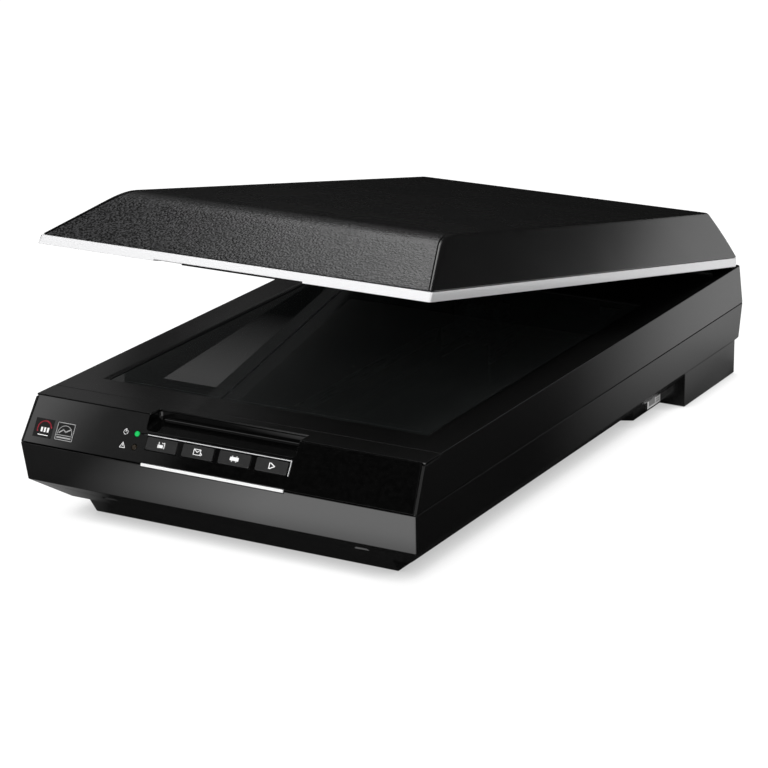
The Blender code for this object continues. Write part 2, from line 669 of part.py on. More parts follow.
def carriage():
    x = (-CARRIAGE_HALF_W, CARRIAGE_HALF_W)
    frame = box(x, CARRIAGE_Y, CARRIAGE_Z, "carriage_frame", "grey_plastic")
    room_y = (CARRIAGE_Y[0] + 2.5, CARRIAGE_Y[1] - 2.5)
    cut(frame, box((x[0] + 2.5, x[1] - 2.5), room_y, (CARRIAGE_Z[0] + 2.5, CARRIAGE_Z[1] - 2.5)))
    cut(frame, box((-106.0, 106.0), (SLIT_Y - 4, SLIT_Y + 4), (60.0, 75.0)))
    cut(frame, box((0.0, 84.0), (-200.0, -158.0), (20.0, 30.0)))
    for clip in both_sides((104.3, 107.0)):
        join(frame, box(clip, (SLIT_Y + 6, SLIT_Y + 12), (CARRIAGE_Z[1] - 0.5, 73.0)))
    lamp = rod((0, SLIT_Y + 9, 71.5), 1.4, "X", (-104.0, 104.0), "carriage_lamp", "white_plastic", 16)
    mirrors = [
        tilted_mirror("lower_mirror", SLIT_Y, 34.0, 45, 13.0),
        tilted_mirror("front_mirror", -199.0, 34.0, -30, 11.0),
        tilted_mirror("upper_mirror", -198.0, 60.0, 20, 10.0),
    ]
    lens = rod((0, 0, 46), 7.5, "Y", (-171.0, -158.5), "lens", "socket_plastic", 24)
    cut(lens, rod((0, 0, 46), 5.0, "Y", (-175.0, -168.0)))
    sensor = box((-45.0, 45.0), (-156.4, -154.8), (31.0, 61.0), "sensor_board", "circuit_board")
    bushing = box((ROD_X - 9, ROD_X + 9), (-200.0, -158.0), (10.5, 23.7), "rod_bushing", "white_plastic")
    cut(bushing, rod((ROD_X, 0, ROD_Z), ROD_R + 0.15, "Y", (-250.0, 0.0)))
    pad = box((RAIL_X - 3, RAIL_X + 3), (-190.0, -170.0), (16.3, 23.7), "slide_pad", "white_plastic")
    clamp_x = BELT_X + (BELT_IN_R + BELT_OUT_R) / 2
    clamp = box((clamp_x - 4, clamp_x + 4), (-184.0, -168.0), (11.5, 23.7), "belt_clamp", "grey_plastic")
    cut(clamp, box((clamp_x - 1.0, clamp_x + 1.0), (-190.0, -160.0), (10.0, BELT_Z[1] + 0.4)))
    pivot = empty_at("carriage_slide", (ROD_X, SLIT_Y, ROD_Z))
    hang_on(pivot, frame, lamp, *mirrors, lens, sensor, bushing, pad, clamp)


# ------------------------------------------------------------------ hinge and lid


def hinge_posts():
    pivot = empty_at("hinge_lift", (0, HINGE_Y, HINGE_Z))
    for side, sign in (("left", -1), ("right", 1)):
        x = sorted((sign * (POST_X - POST_HALF_W), sign * (POST_X + POST_HALF_W)))
        y = (HINGE_Y - LUG_R, HINGE_Y + LUG_R)
        post = box(x, y, (44.0, HINGE_Z), f"{side}_hinge_post", "grey_plastic")
        join(post, rod((0, HINGE_Y, HINGE_Z), LUG_R, "X", x))
        cut(post, rod((0, HINGE_Y, HINGE_Z), PIN_R + 0.25, "X", (x[0] - 5, x[1] + 5)))
        hang_on(pivot, post)


def cover_level(z, inset=0.0):
    """The lid cover's outline at height z: straight slopes, and a soft bend along the front crest."""
    rise = COVER_Z[1] - COVER_Z[0]
    share = (z - COVER_Z[0]) / rise
    bottom_half_w = RIM_HALF_W - RIM_DRAFT
    half_w = bottom_half_w + (COVER_TOP_HALF_W - bottom_half_w) * share
    bottom_rear = RIM_REAR - RIM_DRAFT
    rear = bottom_rear + (COVER_TOP_REAR - bottom_rear) * share ** 2
    bottom_front = RIM_FRONT + RIM_DRAFT
    run = (COVER_FRONT_CREST - bottom_front) / rise
    slope = math.atan2(1, run)
    radius = CREST_BEND / math.tan(slope / 2)
    bend_start = COVER_Z[1] - CREST_BEND * math.sin(slope)
    if z <= bend_start:
        front = bottom_front + run * (z - COVER_Z[0])
    else:
        centre_y = COVER_FRONT_CREST + CREST_BEND
        centre_z = COVER_Z[1] - radius
        front = centre_y - math.sqrt(max(radius ** 2 - (z - centre_z) ** 2, 0.0))
    return rounded(half_w - inset, front + inset * 1.3, rear - inset, z)


def lid_cover():
    slope = math.atan2(COVER_Z[1] - COVER_Z[0], COVER_FRONT_CREST - RIM_FRONT - RIM_DRAFT)
    bend = CREST_BEND * math.sin(slope)
    heights = [COVER_Z[0], COVER_Z[1] - 14.0, COVER_Z[1] - bend]
    heights += [COVER_Z[1] - bend * share for share in (0.62, 0.32, 0.12, 0.0)]
    outer = [cover_level(z) for z in heights]
    inner = [cover_level(z, COVER_WALL) for z in heights[:3]]
    ceiling = [(x, y, z) for x, y, z in cover_level(COVER_Z[1] - COVER_WALL, COVER_WALL)]
    rings = outer[::-1] + inner + [ceiling]
    cover = solid("lid_cover", rings)
    for side in both_sides((POST_X - NOTCH_HALF_W, POST_X + NOTCH_HALF_W)):
        cut(cover, box(side, (226.0, 245.0), (80.0, 90.9)))
    return cover


def lid_rim():
    outer = [
        rounded(RIM_HALF_W, RIM_FRONT, RIM_REAR, RIM_Z[0]),
        rounded(RIM_HALF_W - RIM_DRAFT, RIM_FRONT + RIM_DRAFT, RIM_REAR - RIM_DRAFT, RIM_Z[1]),
    ]
    rim = solid("lid_rim", outer, "silver_paint")
    inner_y = (RIM_FRONT + RIM_BAND, RIM_REAR - RIM_BAND - 3)
    cut(rim, box((RIM_BAND - RIM_HALF_W, RIM_HALF_W - RIM_BAND), inner_y, (70, 95)))
    for side in both_sides((POST_X - NOTCH_HALF_W, POST_X + NOTCH_HALF_W)):
        cut(rim, box(side, (227.5, 245.0), (70.0, 95.0)))
    chamfer = [(RIM_REAR - 3, RIM_Z[0] - 0.01), (RIM_REAR - 3, 70), (250, 70), (250, RIM_Z[0] + 12.8)]
    cut(rim, prism_x(chamfer, (-150, 150)))
    cut(rim, box((-52.0, 52.0), (-235.0, -217.0), (70.0, RIM_Z[0] + 1.0)))
    return rim


def lid_tray():
    """The flat inside of the lid, with the mat's pocket, the film window and the hinge ears."""
    half_w = RIM_HALF_W - RIM_BAND - 0.4
    y = (RIM_FRONT + RIM_BAND + 0.4, RIM_REAR - RIM_BAND - 3.4)
    tray = box((-half_w, half_w), y, TRAY_Z, "lid_tray")
    pocket_y = (MAT_Y[0] - MAT_TRAVEL - 1, MAT_Y[1] + 0.5)
    cut(tray, box((-MAT_HALF_W - 0.5, MAT_HALF_W + 0.5), pocket_y, (70, MAT_Z[1] + 0.4)))
    cut(tray, box((-FILM_HALF_W, FILM_HALF_W), FILM_Y, (70, 95)))
    for side in both_sides((POST_X - EAR_X[1], POST_X + EAR_X[1])):
        join(tray, box(side, (y[1] - 8, y[1]), (TRAY_Z[1] - 1, 90.2)))
    for ear in ear_spans():
        join(tray, box(ear, (y[1] - 6, 236.4), (87.2, 90.2)))
        join(tray, box(ear, (HINGE_Y - 4.8, 236.4), (82.0, 88.0)))
        cut(tray, rod((0, HINGE_Y, HINGE_Z), PIN_R + GAP, "X", (ear[0] - 1, ear[1] + 1)))
    for x in (-FILM_HALF_W - 5, FILM_HALF_W + 5):
        for at in FILM_Y:
            outside = at + math.copysign(5, at)
            join(tray, box((x - 2, x + 2), (outside - 2, outside + 2), (TRAY_Z[1] - 1, 91.7)))
    return tray


def ear_spans():
    spans = []
    for reach in (EAR_X, (-EAR_X[1], -EAR_X[0])):
        spans += both_sides((POST_X + reach[0], POST_X + reach[1]))
    return spans


def lid():
    pieces = [lid_cover(), lid_rim(), lid_tray()]
    window_y = (FILM_Y[0] - 2, FILM_Y[1] + 2)
    half_w = FILM_HALF_W + 2
    window_z = (TRAY_Z[1] + GAP, TRAY_Z[1] + GAP + 2)
    pieces.append(box((-half_w, half_w), window_y, window_z, "film_window", "white_plastic"))
    board_x = (-FILM_HALF_W - 7.5, FILM_HALF_W + 7.5)
    board_y = (FILM_Y[0] - 7.5, FILM_Y[1] + 7.5)
    pieces.append(box(board_x, board_y, (92.0, 93.6), "film_light_board", "circuit_board"))
    for side, sign in (("left", -1), ("right", 1)):
        reach = sorted((sign * (POST_X - EAR_X[1] + 0.3), sign * (POST_X + EAR_X[1] - 0.3)))
        pieces.append(rod((0, HINGE_Y, HINGE_Z), PIN_R, "X", reach, f"{side}_hinge_pin", "steel"))
        bumper = rod((sign * 118.0, -203.0, 0), 4.0, "Z", (79.95, 80.9), f"{side}_lid_bumper", "rubber", 20)
        pieces.append(bumper)
    hinge = empty_at("lid_hinge", (0, HINGE_Y, HINGE_Z))
    hang_on(hinge, *pieces)
    mat_x = (-MAT_HALF_W, MAT_HALF_W)
    mat = box(mat_x, MAT_Y, MAT_Z, "document_mat", "grey_plastic")
    slide = empty_at("mat_slide", (0, sum(MAT_Y) / 2, MAT_Z[0]))
    hang_on(slide, mat)
    slide.location -= hinge.location
    slide.parent = hinge
    hinge.rotation_euler.x = -math.radians(OPEN_DEG)


clear_scene()
lower_casing()
upper_casing()
front_fittings()
bed_and_feet()
drive()
electronics()
transport_lock()
carriage()
hinge_posts()
lid()
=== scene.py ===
import json
import math

import bmesh
import bpy
from mathutils import Matrix, Vector


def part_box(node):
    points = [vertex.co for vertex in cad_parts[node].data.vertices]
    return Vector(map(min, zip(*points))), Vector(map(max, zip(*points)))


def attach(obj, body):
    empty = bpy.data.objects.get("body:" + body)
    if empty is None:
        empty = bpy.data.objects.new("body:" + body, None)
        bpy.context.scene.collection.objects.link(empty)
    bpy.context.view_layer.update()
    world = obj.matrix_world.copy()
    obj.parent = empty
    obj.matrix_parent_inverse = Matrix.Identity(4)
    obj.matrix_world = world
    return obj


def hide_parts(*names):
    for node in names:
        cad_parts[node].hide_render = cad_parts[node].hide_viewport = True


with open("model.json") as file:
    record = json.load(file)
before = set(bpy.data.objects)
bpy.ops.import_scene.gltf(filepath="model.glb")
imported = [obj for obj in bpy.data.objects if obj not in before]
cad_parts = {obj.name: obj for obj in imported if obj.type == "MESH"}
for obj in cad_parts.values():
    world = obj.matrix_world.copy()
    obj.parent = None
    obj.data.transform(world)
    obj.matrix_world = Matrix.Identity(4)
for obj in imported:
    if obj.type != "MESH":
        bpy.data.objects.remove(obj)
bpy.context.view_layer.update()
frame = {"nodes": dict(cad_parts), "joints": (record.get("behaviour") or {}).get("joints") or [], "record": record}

# Lengths are in millimetres and become metres in mesh_object(). X runs right along the front, Y to the
# back, Z up. The lid's pieces are made as they lie with the lid shut, and open_lid() turns them open.
MM = 0.001
JOINTS = {joint["name"]: joint for joint in frame["joints"]}
SLOTS = {part["node"]: part["material_slot"] for part in frame["record"]["subparts"]}
BODIES = {node: body for body, nodes in frame["record"]["behaviour"]["bodies"].items() for node in nodes}


def span(node):
    """Lowest and highest corner of a CAD node, in millimetres."""
    low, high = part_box(node)
    return low / MM, high / MM


BASE_LOW, _ = span("lower_casing")
_, BASE_HIGH = span("upper_casing")
SEAM_Z = span("lower_casing")[1].z + 0.2
TOP_Z = BASE_HIGH.z
GLASS_LOW, GLASS_HIGH = span("platen_glass")

# The sloping front runs this far back between the seam and the top.
SLOPE_RUN = 16.3
SLOPE_LENGTH = math.hypot(SLOPE_RUN, TOP_Z - SEAM_Z)
SLOPE_TOP_Y = BASE_LOW.y + SLOPE_RUN
DOWN = Vector((0, -SLOPE_RUN, SEAM_Z - TOP_Z)) / SLOPE_LENGTH
INWARD = Vector((0, -DOWN.z, DOWN.y))

HINGE = Vector(JOINTS["lid_hinge"]["pos_m"]) / MM
OPEN_ANGLE = math.radians(-JOINTS["lid_hinge"]["range_deg"][0])

BUTTON_NAMES = ("scan_to_file_button", "email_button", "copy_button", "start_button")


# ------------------------------------------------------------------ materials


BROAD = 45.0  # size of the slow drift in a surface's roughness


def new_material(name):
    material = bpy.data.materials.new(name)
    material.use_nodes = True
    tree = material.node_tree
    coords = tree.nodes.new("ShaderNodeTexCoord").outputs["Object"]
    return material, tree, tree.nodes["Principled BSDF"], coords


def noise(tree, coords, size, detail=2.0, stretch=None):
    """Noise with lumps of the given size in millimetres, drawn out along an axis where stretch says."""
    if stretch:
        mapping = tree.nodes.new("ShaderNodeMapping")
        mapping.inputs["Scale"].default_value = stretch
        tree.links.new(coords, mapping.inputs["Vector"])
        coords = mapping.outputs["Vector"]
    node = tree.nodes.new("ShaderNodeTexNoise")
    node.inputs["Scale"].default_value = 1 / (size * MM)
    node.inputs["Detail"].default_value = detail
    tree.links.new(coords, node.inputs["Vector"])
    return node.outputs["Fac"]


def ramp(tree, factor, stops):
    """Colours along a factor, from (position, colour) pairs."""
    node = tree.nodes.new("ShaderNodeValToRGB")
    while len(node.color_ramp.elements) < len(stops):
        node.color_ramp.elements.new(0.5)
    for element, (position, colour) in zip(node.color_ramp.elements, stops):
        element.position = position
        element.color = (*colour, 1.0)
    tree.links.new(factor, node.inputs["Fac"])
    return node.outputs["Color"]


def ranged(tree, factor, low, high, reach=(0.3, 0.7)):
    node = tree.nodes.new("ShaderNodeMapRange")
    for socket, value in zip(("From Min", "From Max", "To Min", "To Max"), (*reach, low, high)):
        node.inputs[socket].default_value = value
    tree.links.new(factor, node.inputs["Value"])
    return node.outputs["Result"]


def split(tree, coords):
    """The X, Y and Z of a vector."""
    node = tree.nodes.new("ShaderNodeSeparateXYZ")
    tree.links.new(coords, node.inputs["Vector"])
    return node.outputs


def arithmetic(tree, operation, *values):
    """A Math node's result on two values, each a number or another node's output."""
    node = tree.nodes.new("ShaderNodeMath")
    node.operation = operation
    for socket, value in zip(node.inputs, values):
        if isinstance(value, float):
            socket.default_value = value
        else:
            tree.links.new(value, socket)
    return node.outputs["Value"]


def bump(tree, shader, height, depth):
    node = tree.nodes.new("ShaderNodeBump")
    node.inputs["Distance"].default_value = depth * MM
    node.inputs["Strength"].default_value = 1.0
    tree.links.new(height, node.inputs["Height"])
    tree.links.new(node.outputs["Normal"], shader.inputs["Normal"])


def moulded(name, dark, light, rough, grain, depth, spread=0.05, metallic=0.0, specular=0.5):
    """Moulded or painted plastic: a fine grain in colour and height, and roughness that drifts slowly."""
    material, tree, shader, coords = new_material(name)
    fine = noise(tree, coords, grain)
    broad = noise(tree, coords, BROAD, 3.0)
    tree.links.new(ramp(tree, fine, ((0.36, dark), (0.64, light))), shader.inputs["Base Color"])
    tree.links.new(ranged(tree, broad, rough - spread, rough + spread), shader.inputs["Roughness"])
    shader.inputs["Metallic"].default_value = metallic
    shader.inputs["Specular IOR Level"].default_value = specular
    bump(tree, shader, fine, depth)
    return material


def lid_plastic():
    """The lid's moulded plastic: fine grain on the front slope that dies away just behind the crest. With the
    grain the colour darkens, so the top carries painted shade.
    """
    material, tree, shader, coords = new_material("grained_black_shaded_top")
    crest = opened(Vector((0, CREST_Y, COVER_Z[1]))).y
    fade = (crest - 4) * MM, (crest + 22) * MM
    # Painted shade: where the grain fades, its colour falls to the darkest stop, so the lid's top is painted
    # darker than its slope.
    share = ranged(tree, split(tree, coords)["Y"], 1.0, 0.12, fade)
    grain = arithmetic(tree, "MULTIPLY", noise(tree, coords, 1.3, 0.0), share)
    colour = ramp(tree, grain, ((0.38, grey(0.004)), (0.64, grey(0.036, 0.03))))
    tree.links.new(colour, shader.inputs["Base Color"])
    tree.links.new(ranged(tree, noise(tree, coords, BROAD, 3.0), 0.25, 0.29), shader.inputs["Roughness"])
    shader.inputs["Specular IOR Level"].default_value = 0.8
    bump(tree, shader, grain, 0.15)
    return material


def brushed(name, dark, light, rough, stretch):
    """Metal with fine lines along one axis."""
    material, tree, shader, coords = new_material(name)
    lines = noise(tree, coords, 1.2, 3.0, stretch)
    tree.links.new(ramp(tree, lines, ((0.3, dark), (0.7, light))), shader.inputs["Base Color"])
    tree.links.new(ranged(tree, lines, rough - 0.06, rough + 0.08), shader.inputs["Roughness"])
    shader.inputs["Metallic"].default_value = 1.0
    bump(tree, shader, lines, 0.01)
    return material


def clear_glass():
    """Slightly dark glass that mirrors less than common glass."""
    material, tree, shader, coords = new_material("scanner_glass")
    haze = noise(tree, coords, 70.0, 3.0)
    tree.links.new(ramp(tree, haze, ((0.3, (0.18, 0.20, 0.20)), (0.7, (0.22, 0.24, 0.235)))),
                   shader.inputs["Base Color"])
    tree.links.new(ranged(tree, haze, 0.0, 0.006), shader.inputs["Roughness"])
    shader.inputs["Transmission Weight"].default_value = 0.92
    shader.inputs["IOR"].default_value = 1.22
    return material


def lit_lens():
    """A lens with a light on behind it."""
    material, tree, shader, coords = new_material("green_light")
    glow = noise(tree, coords, 2.5, 1.0)
    tint = ramp(tree, glow, ((0.2, (0.0, 0.30, 0.05)), (0.8, (0.0, 0.42, 0.09))))
    tree.links.new(tint, shader.inputs["Base Color"])
    tree.links.new(tint, shader.inputs["Emission Color"])
    tree.links.new(ranged(tree, glow, 0.18, 0.3), shader.inputs["Roughness"])
    shader.inputs["Emission Strength"].default_value = 0.3
    return material


def circuit():
    """Green solder mask with paler copper lines under it."""
    material, tree, shader, coords = new_material("solder_mask")
    lines = tree.nodes.new("ShaderNodeTexBrick")
    lines.inputs["Scale"].default_value = 260.0
    lines.inputs["Mortar Size"].default_value = 0.03
    lines.inputs["Color1"].default_value = (0.008, 0.10, 0.035, 1)
    lines.inputs["Color2"].default_value = (0.010, 0.13, 0.045, 1)
    lines.inputs["Mortar"].default_value = (0.03, 0.22, 0.08, 1)
    tree.links.new(coords, lines.inputs["Vector"])
    tree.links.new(lines.outputs["Color"], shader.inputs["Base Color"])
    tree.links.new(ranged(tree, noise(tree, coords, 8.0), 0.3, 0.45), shader.inputs["Roughness"])
    bump(tree, shader, lines.outputs["Fac"], 0.02)
    return material


def grey(value, tint=0.0):
    return value, value, value * (1 + tint)


SATIN = moulded("satin_black", grey(0.0035), grey(0.006), 0.19, 0.5, 0.004, spread=0.01, specular=0.8)
GLOSS = moulded("gloss_black", grey(0.0012), grey(0.0022), 0.07, 3.0, 0.0006, spread=0.02)
SILVER = moulded("silver_paint", grey(0.80, 0.01), grey(0.88, 0.01), 0.3, 0.25, 0.004,
                 spread=0.02, metallic=0.4)
WHITE = moulded("white_plastic", grey(0.80), grey(0.86), 0.48, 0.6, 0.01)
GREY = moulded("dark_grey_plastic", grey(0.014), grey(0.022), 0.42, 0.4, 0.012)
MAT = moulded("dark_mat_plastic", grey(0.07), grey(0.09), 0.5, 0.8, 0.01)
SOCKET = moulded("socket_plastic", grey(0.008), grey(0.014), 0.45, 0.5, 0.01)
RUBBER = moulded("rubber", grey(0.012), grey(0.022), 0.82, 0.7, 0.03)
FOIL = moulded("label_stock", grey(0.84), grey(0.90), 0.42, 2.0, 0.003)
PRINT = moulded("white_print", grey(0.78), grey(0.84), 0.5, 0.3, 0.004)
DIM_PRINT = moulded("grey_print", grey(0.30), grey(0.34), 0.5, 0.3, 0.004)
SHADE_PRINT = moulded("dark_print", grey(0.010), grey(0.014), 0.5, 0.3, 0.004, specular=0.2)
RED_PRINT = moulded("red_print", (0.30, 0.012, 0.03), (0.36, 0.02, 0.04), 0.5, 0.3, 0.004)
AMBER = moulded("unlit_lens", (0.012, 0.009, 0.005), (0.02, 0.014, 0.008), 0.22, 1.5, 0.003)
MIRROR = moulded("front_silvered_mirror", grey(0.86), grey(0.92), 0.04, 20.0, 0.0005,
                 spread=0.02, metallic=1.0)
STEEL = brushed("plated_steel", grey(0.42), grey(0.62), 0.3, (1.0, 0.05, 1.0))
GLASS = clear_glass()
GREEN = lit_lens()
BOARD = circuit()

LOOKS = {
    "black_textured": SATIN, "black_gloss": GLOSS, "silver_paint": SILVER, "white_plastic": WHITE,
    "grey_plastic": GREY, "socket_plastic": SOCKET, "green_lens": GREEN, "amber_lens": AMBER,
    "glass": GLASS, "mirror": MIRROR, "steel": STEEL, "rubber": RUBBER, "circuit_board": BOARD,
    "label": FOIL,
}


# --------------------------------------------------------------- mesh helpers


def linked(name, data):
    """A new object that holds this mesh, light or camera, in the scene."""
    made = bpy.data.objects.new(name, data)
    bpy.context.scene.collection.objects.link(made)
    return made


def mesh_object(name, points, faces):
    """A mesh object from points in millimetres, with its faces turned out."""
    mesh = bpy.data.meshes.new(name)
    mesh.from_pydata([Vector(point) * MM for point in points], [], faces)
    work = bmesh.new()
    work.from_mesh(mesh)
    bmesh.ops.recalc_face_normals(work, faces=work.faces)
    work.to_mesh(mesh)
    work.free()
    return linked(name, mesh)


def loft(name, rings):
    """A solid through rings of as many points each, with end caps."""
    count = len(rings[0])
    points = [point for ring in rings for point in ring]
    faces = [tuple(range(count)), tuple(range(len(points) - count, len(points)))]
    for start in range(0, len(points) - count, count):
        for i in range(count):
            j = (i + 1) % count
            faces.append((start + i, start + j, start + count + j, start + count + i))
    return mesh_object(name, points, faces)


def box(x, y, z, name="block"):
    ring = [(x[0], y[0]), (x[1], y[0]), (x[1], y[1]), (x[0], y[1])]
    return loft(name, [[(*p, height) for p in ring] for height in z])


def prism_x(profile, x, name="block"):
    return loft(name, [[(at, y, z) for y, z in profile] for at in x])


def round_corner(x, y, z, radius, start, steps):
    """The quarter circle from the angle start that rounds off a level outline's corner."""
    centre_x = x - math.copysign(radius, x)
    centre_y = y - (radius if start < 180 else -radius)
    angles = [math.radians(start + 90 * step / steps) for step in range(steps + 1)]
    return [(centre_x + radius * math.cos(angle), centre_y + radius * math.sin(angle), z) for angle in angles]


def rounded(half_w, front, rear, z, radius, steps):
    """A level rectangle with round corners, anticlockwise from above."""
    corners = (half_w, rear, 0), (-half_w, rear, 90), (-half_w, front, 180), (half_w, front, 270)
    return [point for x, y, start in corners for point in round_corner(x, y, z, radius, start, steps)]


def facet(x, down, inward):
    """A point given across, down and inwards from the sloping front's top edge."""
    return Vector((x, SLOPE_TOP_Y, TOP_Z)) + DOWN * down + INWARD * inward


def facet_block(x, down, inward, name="block"):
    ring = [(x[0], down[0]), (x[1], down[0]), (x[1], down[1]), (x[0], down[1])]
    return loft(name, [[facet(*p, depth) for p in ring] for depth in inward])


def rod(centre, radius, axis, reach, name="rod", steps=32):
    """A round bar along X, Y or Z."""
    turn = {"X": (1, 2, 0), "Y": (0, 2, 1), "Z": (0, 1, 2)}[axis]
    rings = []
    for at in reach:
        ring = []
        for step in range(steps):
            angle = 2 * math.pi * step / steps
            point = list(centre)
            point[turn[0]] += radius * math.cos(angle)
            point[turn[1]] += radius * math.sin(angle)
            point[turn[2]] = at
            ring.append(point)
        rings.append(ring)
    return loft(name, rings)


def combine(base, operation, others):
    for other in others:
        modifier = base.modifiers.new("combine", "BOOLEAN")
        modifier.operation = operation
        modifier.object = other
        graph = bpy.context.evaluated_depsgraph_get()
        mesh = bpy.data.meshes.new_from_object(base.evaluated_get(graph))
        base.modifiers.clear()
        base.data = mesh
        bpy.data.objects.remove(other, do_unlink=True)
    return base


def join(base, *others):
    return combine(base, "UNION", others)


def cut(base, *others):
    return combine(base, "DIFFERENCE", others)


def merge_flat(work):
    """Makes doubled points one, and joins the triangles of each flat face."""
    bmesh.ops.remove_doubles(work, verts=work.verts, dist=0.002 * MM)
    bmesh.ops.dissolve_limit(work, angle_limit=math.radians(0.6), verts=work.verts, edges=work.edges)


def has_room(edge, sharp, need):
    """Whether the edges that meet this one are long enough to give up the width of its rounding."""
    for vert in edge.verts:
        along = (edge.other_vert(vert).co - vert.co).normalized()
        for other in vert.link_edges:
            beside = (other.other_vert(vert).co - vert.co).normalized()
            carries_on = other in sharp and along.dot(beside) < -0.8
            if other is not edge and not carries_on and other.calc_length() < need:
                return False
    return True


def soften(obj, width, segments=3, degrees=28):
    """Rounds every edge that turns more than the angle, where there is room for the rounding."""
    work = bmesh.new()
    work.from_mesh(obj.data)
    merge_flat(work)
    turn = math.radians(degrees)
    sharp = {edge for edge in work.edges if len(edge.link_faces) == 2 and edge.calc_face_angle() > turn}
    roomy = [edge for edge in sharp if has_room(edge, sharp, 2.2 * width * MM)]
    if roomy:
        bmesh.ops.bevel(work, geom=roomy, offset=width * MM, segments=segments, profile=0.5,
                        affect="EDGES", clamp_overlap=False, miter_outer="SHARP")
    bmesh.ops.recalc_face_normals(work, faces=work.faces)
    work.to_mesh(obj.data)
    work.free()
    shade(obj)
    return obj


def shade(obj, degrees=50):
    obj.data.shade_smooth()
    obj.data.set_sharp_from_angle(angle=math.radians(degrees))
    weighted = obj.modifiers.new("normals", "WEIGHTED_NORMAL")
    weighted.keep_sharp = True


def finish_piece(obj, body, material, replaced=()):
    """Gives a piece its material and its body, and hides the CAD nodes it stands for."""
    obj.data.materials.clear()
    obj.data.materials.append(material)
    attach(obj, body)
    if replaced:
        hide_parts(*replaced)
    return obj


def stand_for(obj, node, material=None):
    """obj takes the place of the CAD node, on its body and in its slot."""
    slot = SLOTS[node]
    return finish_piece(obj, BODIES[node], material or LOOKS[slot], [node])


def copy_of(node):
    """A free copy of a CAD node's mesh, to be reshaped."""
    mesh = frame["nodes"][node].data.copy()
    mesh.materials.clear()
    made = linked(node + "_body", mesh)
    work = bmesh.new()
    work.from_mesh(mesh)
    merge_flat(work)
    bmesh.ops.recalc_face_normals(work, faces=work.faces)
    work.to_mesh(mesh)
    work.free()
    return made


def refined(node, width, segments=3, cutters=(), material=None):
    """The CAD node with its edges rounded, and with finer cuts where they are given."""
    made = copy_of(node)
    if cutters:
        cut(made, *cutters)
    soften(made, width, segments)
    return stand_for(made, node, material)


def open_lid(obj):
    """Turns a piece that was made with the lid shut to where the lid stands open."""
    pivot = HINGE * MM
    turn = Matrix.Rotation(-OPEN_ANGLE, 4, "X")
    obj.data.transform(Matrix.Translation(pivot) @ turn @ Matrix.Translation(-pivot))
    return obj


def shut(point):
    """Where a point of the open lid is with the lid shut."""
    return HINGE + Matrix.Rotation(OPEN_ANGLE, 3, "X") @ (point - HINGE)


def opened(point):
    """Where a point of the shut lid is with the lid open."""
    return HINGE + Matrix.Rotation(-OPEN_ANGLE, 3, "X") @ (point - HINGE)


# ------------------------------------------------------------------- the lid

# The pairs RIM_Z, RIM_FRONT and COVER_Z are at the bottom and at the top of their piece.
RIM_Z = (80.6, 86.8)
RIM_HALF_W, RIM_REAR = 137.0, 237.2
RIM_FRONT = (-227.4, -224.0)
RIM_FRONT_LIFT = 0.7
RIM_DRAFT, CAD_RIM_DRAFT = 0.3, 0.9
GRIP_X = (-32.0, 50.5)
COVER_Z = (87.2, 115.3)
COVER_RISE = COVER_Z[1] - COVER_Z[0]
COVER_TOP_HALF_W, COVER_TOP_REAR = 114.5, 229.4
COVER_WALL = 2.5
COVER_REAR_R = 3.0
CREST_Y, CREST_BEND = -171.0, 13.0
EDGE_R = 1.2
GROOVE = 0.6
POST_X, NOTCH_HALF_W = 95.0, 15.5


def fillet(rise, radius):
    """How far a rounded top edge falls short of its plane, at a height this far below the top."""
    return radius - math.sqrt(radius ** 2 - (radius - rise) ** 2) if rise < radius else 0.0


def cover_share(z):
    """How far up the cover a height is, from 0 to 1."""
    return (z - COVER_Z[0]) / COVER_RISE


def cover_half_w(z):
    """Half the cover's width at height z, and the radius of its front corners there."""
    share = cover_share(z)
    bottom_half_w = RIM_HALF_W - RIM_DRAFT
    half_w = bottom_half_w + (COVER_TOP_HALF_W - bottom_half_w) * share
    return half_w - fillet(COVER_Z[1] - z, EDGE_R) * 0.6, 1.9 + 1.2 * share


def cover_ring(z, inset=0.0, groove=0.0):
    """The cover's outline at height z: straight side slopes, a soft bend along the crest, and a groove
    beside each side edge of the front slope."""
    below_top = COVER_Z[1] - z
    half_w, corner = cover_half_w(z)
    rear = RIM_REAR - RIM_DRAFT
    rear += (COVER_TOP_REAR - rear) * cover_share(z) ** 2 - fillet(below_top, EDGE_R)
    run = (CREST_Y - RIM_FRONT[1]) / COVER_RISE
    slope = math.atan2(1, run)
    radius = CREST_BEND / math.tan(slope / 2)
    if below_top >= CREST_BEND * math.sin(slope):
        front = RIM_FRONT[1] + run * (z - COVER_Z[0])
        steepness = math.sin(slope)
    else:
        lift = radius - below_top
        front = CREST_Y + CREST_BEND - math.sqrt(max(radius ** 2 - lift ** 2, 0.0))
        steepness = math.sqrt(max(1 - (lift / radius) ** 2, 0.0))
    half_w -= inset
    front += inset * 1.3
    rear -= inset
    sink = groove / max(steepness, 0.25) if steepness > 0.02 else 0.0
    beside = [(half_w - corner - off, front + deep, z)
              for off, deep in ((0.1, 0.0), (0.35, sink), (1.0, sink), (1.25, 0.0))]
    ring = round_corner(half_w, rear, z, COVER_REAR_R, 0, 6)
    ring += round_corner(-half_w, rear, z, COVER_REAR_R, 90, 6)
    ring += round_corner(-half_w, front, z, corner, 180, 6) + [(-x, y, z) for x, y, z in beside]
    return ring + beside[::-1] + round_corner(half_w, front, z, corner, 270, 6)


def risen(x, y, z):
    """The cover's top plate climbs a little towards the hinge."""
    return x, y, z + cover_share(z) * (y - CREST_Y) * 0.0025


